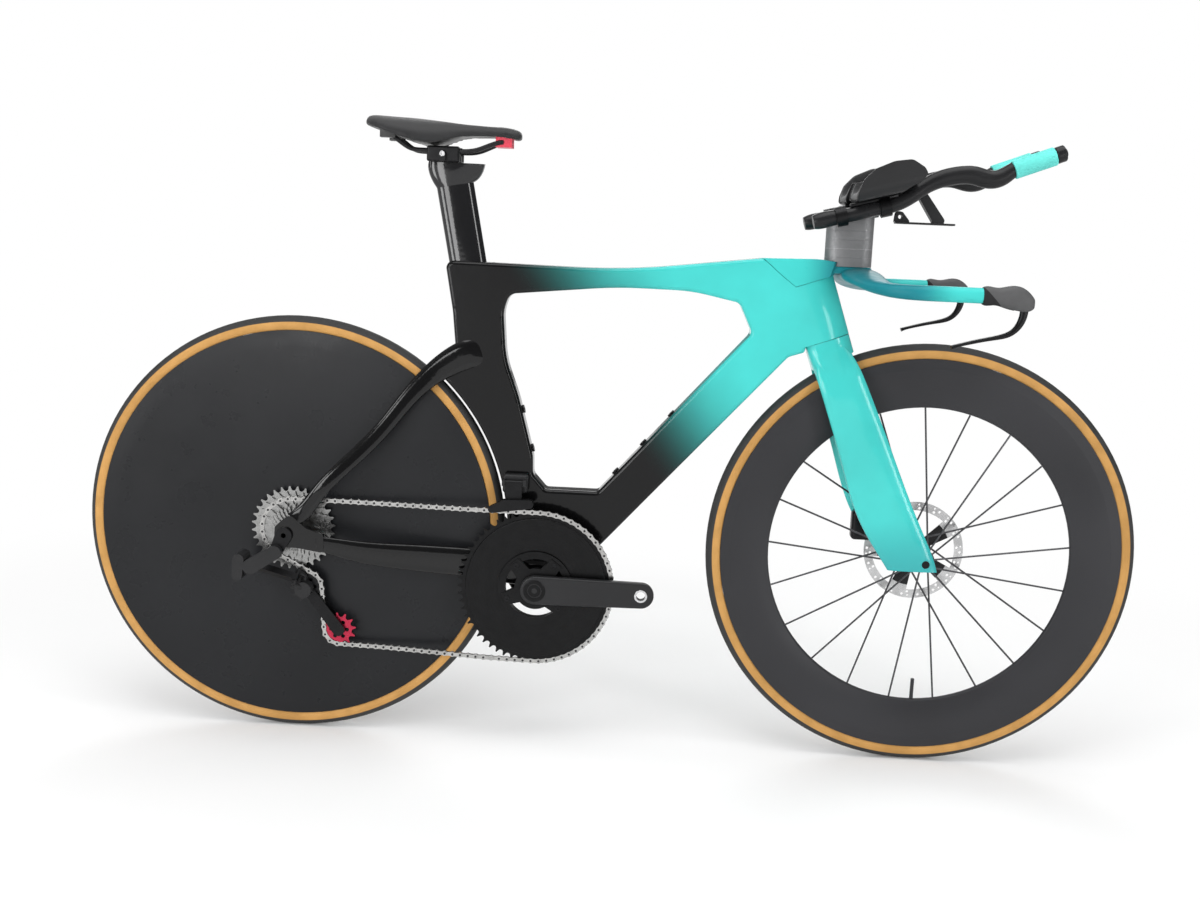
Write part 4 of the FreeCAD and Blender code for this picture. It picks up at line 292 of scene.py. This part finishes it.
seaGreen = (0.055, 0.56, 0.525)
deepBlack = (0.0035, 0.0035, 0.0038)
# deeper teal painted on as shade at the fork's lower end
forkShadeTeal = (0.03, 0.36, 0.37)
# deep teal painted on as shade at the bar's root
barShadeTeal = (0.012, 0.2, 0.24)
softBlack = (0.014, 0.014, 0.015)
frameFade = (-1.0, 1.42, 1.73, 1.0, 0.79)
# painted shade: the fork darkens to the deeper teal below about 0.45 m, and is fully that teal below 0.30 m
forkLowShade = (0.0, 0.30, 0.45, 0.0, 1.0)
# painted shade: the bar darkens to the deep teal within 0.03 m of x 0.385, at its root beside the stem under the
# riser, and the shade is gone by 0.11 m
barRootShade = (0.385, 0.03, 0.11, 1.0, 0.0)
hoodSplit = (1, 1, 1.2925)
looks = {
    "framePaint": paint("framePaint", seaGreen, deepBlack, frameFade, coat=0.4, gloss=0.15),
    "forkPaintWithShade": paint("forkPaintWithShade", seaGreen, forkShadeTeal, forkLowShade),
    "barPaintWithShade": paint("barPaintWithShade", seaGreen, barShadeTeal, barRootShade, roughness=0.34, coat=0.0, gloss=0.15),
    "blackPaint": paint("blackPaint", deepBlack, roughness=0.12, coat=0.6, gloss=0.2),
    "postBlack": paint("postBlack", (0.008, 0.008, 0.009), roughness=0.1, coat=1.0, gloss=0.2),
    "rimCarbon": satinCarbon("rimCarbon", (0.03, 0.03, 0.033), 0.36, frontAxle),
    "discCarbon": satinCarbon("discCarbon", (0.012, 0.0125, 0.014), 0.3, rearAxle),
    "barCarbon": satinCarbon("barCarbon", softBlack, 0.3),
    "cupCarbon": satinCarbon("cupCarbon", (0.022, 0.022, 0.023), 0.4),
    "crankCarbon": satinCarbon("crankCarbon", (0.018, 0.018, 0.019), 0.32, bracketAxle),
    "ringBlack": metal("ringBlack", (0.01, 0.01, 0.0105), 0.32, 0.75, bracketAxle),
    "blackAlloy": metal("blackAlloy", softBlack, 0.34, 0.75),
    "hubAlloy": metal("hubAlloy", (0.028, 0.028, 0.03), 0.32, 0.7, frontAxle),
    "rearHubAlloy": metal("rearHubAlloy", (0.028, 0.028, 0.03), 0.32, 0.7, rearAxle),
    "silverAlloy": metal("silverAlloy", (0.66, 0.66, 0.67), 0.26),
    "spokeSteel": metal("spokeSteel", (0.09, 0.09, 0.095), 0.3, 0.9),
    "chainSteel": metal("chainSteel", (0.5, 0.495, 0.485), 0.24),
    "pinSteel": metal("pinSteel", (0.05, 0.05, 0.052), 0.35, 0.9),
    "cogSteel": metal("cogSteel", (0.36, 0.36, 0.355), 0.27, 1.0, rearAxle),
    "frontRotorSteel": rotorSteel("frontRotorSteel", frontAxle),
    "rearRotorSteel": rotorSteel("rearRotorSteel", rearAxle),
    "padMetal": metal("padMetal", (0.25, 0.22, 0.2), 0.5),
    "spacerGrey": metal("spacerGrey", (0.21, 0.21, 0.215), 0.42, 0.35, grain=30.0),
    "pulleyRed": metal("pulleyRed", (0.52, 0.035, 0.075), 0.28, 0.85),
    "frontTyre": tyreRubber("frontTyre", frontAxle),
    "rearTyre": tyreRubber("rearTyre", rearAxle),
    "blackMoulding": moulded("blackMoulding", (0.016, 0.016, 0.017), 0.42),
    "hoodRubber": moulded("hoodRubber", (0.085, 0.085, 0.087), 0.55, 520.0, 0.2, softBlack, hoodSplit),
    "gripRubber": moulded("gripRubber", (0.13, 0.66, 0.6), 0.6, 420.0, 0.45),
    "padFoam": softCover("padFoam", (0.02, 0.02, 0.021), 0.85, 380.0, 0.5, 0.3),
    "saddleLeather": softCover("saddleLeather", (0.02, 0.02, 0.021), 0.48, 620.0, 0.25),
    "saddleShell": shellWithRedNose("saddleShell"),
}
print("materials", len(looks))

finishOf = {
    "framePaint": ["main_frame"], "forkPaintWithShade": ["fork"], "barPaintWithShade": ["base_bar"],
    "blackPaint": ["seat_stays", "chain_stays"], "postBlack": ["seatpost"],
    "rimCarbon": ["front_rim"], "discCarbon": ["rear_disc"], "cupCarbon": ["arm_cups"],
    "barCarbon": ["extension_bars", "saddle_rails"], "crankCarbon": ["right_crank_arm", "left_crank_arm"],
    "ringBlack": ["outer_chainring", "inner_chainring", "crank_spider"],
    "blackAlloy": ["bottom_bracket_bearings", "bottle_bosses", "seatpost_clamp", "derailleur_hanger",
                   "rear_through_axle", "front_through_axle", "front_brake_caliper", "rear_brake_caliper",
                   "front_derailleur_cage", "rear_derailleur_link", "rear_derailleur_cage", "saddle_clamp",
                   "arm_rest_bridge", "left_brake_lever", "right_brake_lever"],
    "hubAlloy": ["front_hub"], "rearHubAlloy": ["rear_hub", "freehub_body"],
    "silverAlloy": ["headset_bearings"], "spokeSteel": ["front_spokes"], "chainSteel": ["chain"],
    "cogSteel": ["cassette"],
    "frontRotorSteel": ["front_rotor"], "rearRotorSteel": ["rear_rotor"],
    "padMetal": ["front_brake_inner_pad", "front_brake_outer_pad",
                 "rear_brake_inner_pad", "rear_brake_outer_pad"],
    "spacerGrey": ["riser_spacers"], "pulleyRed": ["tension_pulley"],
    "frontTyre": ["front_tyre"], "rearTyre": ["rear_tyre"],
    "blackMoulding": ["front_derailleur_body", "rear_derailleur_body", "rear_derailleur_knuckle",
                      "guide_pulley", "computer_mount", "left_shift_button", "right_shift_button"],
    "hoodRubber": ["lever_hoods"], "gripRubber": ["extension_grips"],
    "padFoam": ["arm_pads"], "saddleLeather": ["saddle_padding"], "saddleShell": ["saddle_shell"],
}
for finish, names in finishOf.items():
    for name in names:
        for slot in nodes[name].material_slots:
            slot.material = looks[finish]
print("finishes on nodes", sum(len(names) for names in finishOf.values()))


# new pieces
def newPiece(name, mesh, finish, body, smooth=True):
    mesh.normal_update()
    data = bpy.data.meshes.new(name)
    mesh.to_mesh(data)
    mesh.free()
    for face in data.polygons:
        face.use_smooth = smooth
    piece = bpy.data.objects.new(name, data)
    bpy.context.scene.collection.objects.link(piece)
    data.materials.append(looks[finish])
    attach(piece, body)
    return piece


def settled(piece):
    # the piece's mesh with its modifiers worked in
    data = bpy.data.meshes.new_from_object(piece.evaluated_get(bpy.context.evaluated_depsgraph_get()))
    piece.modifiers.clear()
    return data


def softFrom(nodeName, pieceName, look, finish, body):
    # foam grown from its plain solid: even skin, swollen by cloth pressure, then relaxed
    shape = bmesh.new()
    shape.from_mesh(nodes[nodeName].data)
    bmesh.ops.remove_doubles(shape, verts=shape.verts, dist=0.00002)
    data = bpy.data.meshes.new(pieceName)
    shape.to_mesh(data)
    shape.free()
    piece = bpy.data.objects.new(pieceName, data)
    bpy.context.scene.collection.objects.link(piece)
    remesh = piece.modifiers.new("skin", "REMESH")
    remesh.mode = "VOXEL"
    remesh.voxel_size = look["voxel"]
    relax = piece.modifiers.new("relax", "SMOOTH")
    relax.factor = 0.5
    relax.iterations = look["relax"]
    skin = settled(piece)
    piece.data = skin
    start = [vertex.co.copy() for vertex in skin.vertices]
    cloth = piece.modifiers.new("swell", "CLOTH")
    cloth.settings.use_pressure = True
    cloth.settings.uniform_pressure_force = look["pressure"]
    cloth.settings.effector_weights.gravity = 0
    for step in range(1, look["steps"] + 1):
        bpy.context.scene.frame_set(step)
    swollen = settled(piece)
    for vertex, moved, origin in zip(skin.vertices, swollen.vertices, start):
        shift = moved.co - origin
        vertex.co = origin + shift * min(1.0, look["swell"] / max(shift.length, 1e-9))
    bpy.context.scene.frame_set(1)
    shape = bmesh.new()
    shape.from_mesh(skin)
    bpy.data.objects.remove(piece)
    if look.get("channel"):
        deep, wide, first, last, ease = look["channel"]
        for vertex in shape.verts:
            if vertex.normal.z > 0.3 and first < vertex.co.x < last:
                ends = min(1.0, (vertex.co.x - first) / ease, (last - vertex.co.x) / ease)
                vertex.co.z -= deep * ends * math.exp(-(vertex.co.y / wide) ** 2)
    bmesh.ops.smooth_vert(shape, verts=shape.verts, factor=0.3,
                          use_axis_x=True, use_axis_y=True, use_axis_z=True)
    bmesh.ops.recalc_face_normals(shape, faces=shape.faces)
    pad = newPiece(pieceName, shape, finish, body)
    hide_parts(nodeName)


# channel: depth, half width, rear end, front end, run-out
saddleLook = {"voxel": 0.003, "relax": 4, "swell": 0.0012, "pressure": 3.0, "steps": 8, "fill": 0.85,
              "channel": (0.0045, 0.009, -0.372, -0.185, 0.03)}
armPadLook = {"voxel": 0.003, "relax": 3, "swell": 0.0008, "pressure": 2.0, "steps": 8, "fill": 0.7}
softFrom("saddle_padding", "saddleTop", saddleLook, "saddleLeather", "seat")
softFrom("arm_pads", "armRestPads", armPadLook, "padFoam", "steering")
print("soft pieces done")


# small turned trim
def turnedTrim(mesh, profile, centre, closed=False, steps=32):
    # profile of (radius, y) points spun about a cross axis through centre
    points = [mesh.verts.new((centre[0] + radius, y, centre[2])) for radius, y in profile]
    pairs = list(zip(points, points[1:])) + ([(points[-1], points[0])] if closed else [])
    lines = [mesh.edges.new(pair) for pair in pairs]
    bmesh.ops.spin(mesh, geom=points + lines, cent=(centre[0], 0, centre[2]), axis=(0, 1, 0),
                   angle=math.tau, steps=steps, use_merge=True)


def finishTrim(mesh):
    bmesh.ops.remove_doubles(mesh, verts=mesh.verts, dist=0.000002)
    bmesh.ops.recalc_face_normals(mesh, faces=mesh.faces)
    for edge in mesh.edges:
        edge.smooth = edge.calc_face_angle(0) < 0.5
    return mesh


def socketHead(mesh, centre, face, out, radius, height, steps=20):
    # domed bolt head with a round socket; out is the way it stands along y
    profile = [(0, 0.2), (0.45, 0.2), (0.5, 1.0), (0.85, 1.0), (1.0, 0.6), (1.0, -0.3)]
    turnedTrim(mesh, [(radius * r, face + out * height * y) for r, y in profile], centre, steps=steps)


crankLook = {"cap": 0.0175, "bolt": 0.0105, "socket": 0.004, "insert": (0.0072, 0.0102), "proud": 0.0006}
crankFace = -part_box("right_crank_arm")[0][1]
caps = bmesh.new()
inserts = bmesh.new()
for turn, arm in ((-1, "right"), (1, "left")):
    face, proud = crankFace * turn, crankLook["proud"] * turn
    cap, bolt, socket = crankLook["cap"], crankLook["bolt"], crankLook["socket"]
    turnedTrim(caps, [
        (0, face - proud), (socket, face - proud), (socket + 0.0003, face + proud / 2),
        (bolt - 0.001, face + proud / 2), (bolt, face - proud), (bolt + 0.0008, face - proud),
        (bolt + 0.0012, face + 2 * proud), (cap - 0.001, face + 2 * proud), (cap, face + proud),
        (cap, face - proud),
    ], bracketAxle)
    near, far = crankLook["insert"]
    pedalEye = next(m["pos_m"] for m in frame["record"]["mounts"] if m["name"] == "pedal_thread_" + arm)
    turnedTrim(inserts, [
        (near, face - 5 * proud), (near, face + proud), (far - 0.0006, face + proud),
        (far, face + 0.3 * proud), (far, face - 5 * proud),
    ], pedalEye, True)
newPiece("crankCaps", finishTrim(caps), "ringBlack", "crankset")
newPiece("pedalInserts", finishTrim(inserts), "silverAlloy", "crankset")

ringBoltLook = {"radius": 0.0046, "height": 0.0012, "circle": 0.0475, "angles": (53, 130, 202, 322)}
ringBolts = bmesh.new()
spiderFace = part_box("crank_spider")[0][1]
for degrees in ringBoltLook["angles"]:
    out = Vector((math.cos(math.radians(degrees)), 0, math.sin(math.radians(degrees))))
    socketHead(ringBolts, Vector(bracketAxle) + out * ringBoltLook["circle"], spiderFace, -1,
               ringBoltLook["radius"], ringBoltLook["height"])
newPiece("ringBolts", finishTrim(ringBolts), "blackAlloy", "crankset")


railLook = {"slope": 14.5, "middle": (0.380, 0.060, 0.891), "length": 0.072, "wide": 0.013, "high": 0.005,
            "round": 0.0015}
rails = bmesh.new()
for side in (-1, 1):
    rail = bmesh.ops.create_cube(rails, size=1.0)["verts"]
    bmesh.ops.scale(rails, verts=rail, vec=(railLook["length"], railLook["wide"], railLook["high"]))
    bmesh.ops.rotate(rails, verts=rail, matrix=Matrix.Rotation(math.radians(-railLook["slope"]), 3, "Y"))
    middleX, middleY, middleZ = railLook["middle"]
    bmesh.ops.translate(rails, verts=rail, vec=(middleX, side * middleY, middleZ))
bmesh.ops.bevel(rails, geom=rails.edges, offset=railLook["round"], affect="EDGES",
                segments=2, profile=0.5, material=-1)
newPiece("cupRails", finishTrim(rails), "blackAlloy", "steering")

saddleBoltLook = {"radius": 0.0045, "height": 0.003}
saddleBolts = bmesh.new()
clampLow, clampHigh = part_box("saddle_clamp")
clampMiddle = [(low + high) / 2 for low, high in zip(clampLow, clampHigh)]
for out, face in ((-1, clampLow[1]), (1, clampHigh[1])):
    socketHead(saddleBolts, clampMiddle, face, out, saddleBoltLook["radius"], saddleBoltLook["height"])
newPiece("saddleBolts", finishTrim(saddleBolts), "silverAlloy", "seat")


# pin heads on the outer plates of the chain
def meshIslands(mesh):
    waiting = set(mesh.verts)
    while waiting:
        reached = [waiting.pop()]
        island = []
        while reached:
            vertex = reached.pop()
            island.append(vertex.co)
            for line in vertex.link_edges:
                other = line.other_vert(vertex)
                if other in waiting:
                    waiting.remove(other)
                    reached.append(other)
        yield island


pinLook = {"radius": 0.0019, "head": 0.0003, "halfPitch": 0.00635, "halfWidth": 0.00252,
           "outerLink": 0.0045}
links = bmesh.new()
links.from_mesh(nodes["chain"].data)
bmesh.ops.remove_doubles(links, verts=links.verts, dist=0.00002)
pins = bmesh.new()
for island in meshIslands(links):
    if max(spot.y for spot in island) - min(spot.y for spot in island) < pinLook["outerLink"]:
        continue
    middle = sum(island, Vector()) / len(island)
    ways = [Vector((spot.x - middle.x, 0, spot.z - middle.z)) for spot in island]
    along = max(ways, key=lambda way: way.length).normalized() * pinLook["halfPitch"]
    for spot in (middle + along, middle - along):
        depth = 2 * (pinLook["halfWidth"] + pinLook["head"])
        made = bmesh.ops.create_cone(pins, cap_ends=True, segments=8, radius1=pinLook["radius"],
                                     radius2=pinLook["radius"], depth=depth)
        bmesh.ops.rotate(pins, verts=made["verts"], matrix=Matrix.Rotation(math.radians(90), 3, "X"))
        bmesh.ops.translate(pins, verts=made["verts"], vec=spot)
links.free()
newPiece("chainPins", pins, "pinSteel", "frame", smooth=False)
print("small trim done")

# floor, lights and camera
floorLook = {"size": 40.0, "colour": (0.93, 0.93, 0.93), "near": 0.75, "far": 2.0}  # pure white past far
floorMesh = bmesh.new()
bmesh.ops.create_grid(floorMesh, x_segments=1, y_segments=1, size=floorLook["size"])
floorData = bpy.data.meshes.new("floor")
floorMesh.to_mesh(floorData)
floorMesh.free()
floor = bpy.data.objects.new("floor", floorData)
bpy.context.scene.collection.objects.link(floor)
floorMaterial, floorTree, floorShader = startMaterial("floorPale")
floorPlace = objectPlace(floorTree)
floorCloud = spread(floorTree, noiseOf(floorTree, floorPlace, 1.5), 0.0, 1.0)
floorColour = mixColours(floorTree, floorCloud, floorLook["colour"], shade(floorLook["colour"], 0.985))
floorTree.links.new(floorColour, floorShader.inputs["Base Color"])
floorShader.inputs["Roughness"].default_value = 0.9
floorShader.inputs["Specular IOR Level"].default_value = 0.0
floorPath = addNode(floorTree, "ShaderNodeLightPath")
floorSeen = sums(floorTree, "MAXIMUM", floorPath.outputs["Is Camera Ray"],
                 floorPath.outputs["Is Glossy Ray"])
floorSeen = sums(floorTree, "MAXIMUM", floorSeen, floorPath.outputs["Is Transmission Ray"])
floorAway = addNode(floorTree, "ShaderNodeVectorMath", {"operation": "LENGTH"}, {0: floorPlace})
floorFar = spread(floorTree, floorAway.outputs["Value"], 0.0, 1.0, floorLook["near"], floorLook["far"],
                  "SMOOTHSTEP")
floorWhite = addNode(floorTree, "ShaderNodeEmission")
floorShare = sums(floorTree, "MULTIPLY", floorSeen, floorFar)
floorMix = addNode(floorTree, "ShaderNodeMixShader", inputs={
    0: floorShare, 1: floorShader.outputs[0], 2: floorWhite.outputs[0]})
floorTree.links.new(floorMix.outputs[0], floorTree.nodes["Material Output"].inputs["Surface"])
floorData.materials.append(floorMaterial)

worldLook = {"fill": 0.5, "walls": 0.16, "ceiling": 0.7}  # what gloss mirrors at the sides and overhead
world = bpy.data.worlds.new("studio")
bpy.context.scene.world = world
world.use_nodes = True
worldTree = world.node_tree
path = addNode(worldTree, "ShaderNodeLightPath")
seen = sums(worldTree, "MAXIMUM", path.outputs["Is Camera Ray"], path.outputs["Is Transmission Ray"])
looking = addNode(worldTree, "ShaderNodeTexCoord").outputs["Generated"]
upright = addNode(worldTree, "ShaderNodeSeparateXYZ", inputs={0: looking}).outputs[2]
steep = sums(worldTree, "ABSOLUTE", upright)
mirrored = spread(worldTree, steep, worldLook["walls"], worldLook["ceiling"], 0.45, 0.95)
glossy = path.outputs["Is Glossy Ray"]
fill = addNode(worldTree, "ShaderNodeMix", inputs={0: glossy, 2: worldLook["fill"], 3: mirrored})
strength = addNode(worldTree, "ShaderNodeMapRange", inputs={0: seen, 3: fill.outputs[0], 4: 1.0})
background = worldTree.nodes["Background"]
background.inputs[0].default_value = (1, 1, 1, 1)
worldTree.links.new(strength.outputs[0], background.inputs[1])

lampLooks = {
    "overhead": {"place": (0.2, -0.6, 3.2), "aim": (0.0, 0.0, 0.4), "size": (3.2, 2.2), "power": 55},
    "leftBox": {"place": (-2.6, -2.6, 1.3), "aim": (-0.1, 0.0, 0.6), "size": (0.8, 2.4), "power": 42},
    "rightBox": {"place": (2.4, -2.8, 1.3), "aim": (0.2, 0.0, 0.6), "size": (0.6, 2.4), "power": 32},
    "postStrip": {"place": (-1.1, -2.3, 0.95), "aim": (-0.27, 0.0, 0.85), "size": (0.55, 0.9), "power": 10},
    "backBox": {"place": (0.3, 3.0, 2.2), "aim": (0.0, 0.0, 0.5), "size": (2.4, 1.4), "power": 30},
}
for lampName, lampLook in lampLooks.items():
    lampData = bpy.data.lights.new(lampName, "AREA")
    lampData.shape = "RECTANGLE"
    lampData.size, lampData.size_y = lampLook["size"]
    lampData.energy = lampLook["power"]
    lamp = bpy.data.objects.new(lampName, lampData)
    lamp.location = lampLook["place"]
    shining = Vector(lampLook["aim"]) - Vector(lampLook["place"])
    lamp.rotation_euler = shining.to_track_quat("-Z", "Y").to_euler()
    bpy.context.scene.collection.objects.link(lamp)

# focal length in pixels of a picture 1200 wide, angles in degrees
cameraLook = {"place": (0.059, -2.033, 0.815), "yaw": -2.07, "pitch": -9.21, "roll": 2.43, "focal": 1291.0}
pictureWidth = 1200.0
cameraData = bpy.data.cameras.new("photoCamera")
cameraData.lens = cameraLook["focal"] * cameraData.sensor_width / pictureWidth
camera = bpy.data.objects.new("photoCamera", cameraData)
yaw, pitch, roll = (math.radians(cameraLook[key]) for key in ("yaw", "pitch", "roll"))
ahead = Vector((math.sin(yaw) * math.cos(pitch), math.cos(yaw) * math.cos(pitch), math.sin(pitch)))
side = ahead.cross(Vector((0, 0, 1))).normalized()
upward = side.cross(ahead)
turnedSide = side * math.cos(roll) + upward * math.sin(roll)
turnedUp = upward * math.cos(roll) - side * math.sin(roll)
facing = Matrix((turnedSide, turnedUp, -ahead)).transposed().to_4x4()
camera.matrix_world = Matrix.Translation(cameraLook["place"]) @ facing
bpy.context.scene.collection.objects.link(camera)
bpy.context.scene.camera = camera
bpy.context.scene.view_settings.view_transform = "Standard"
print("studio ready")
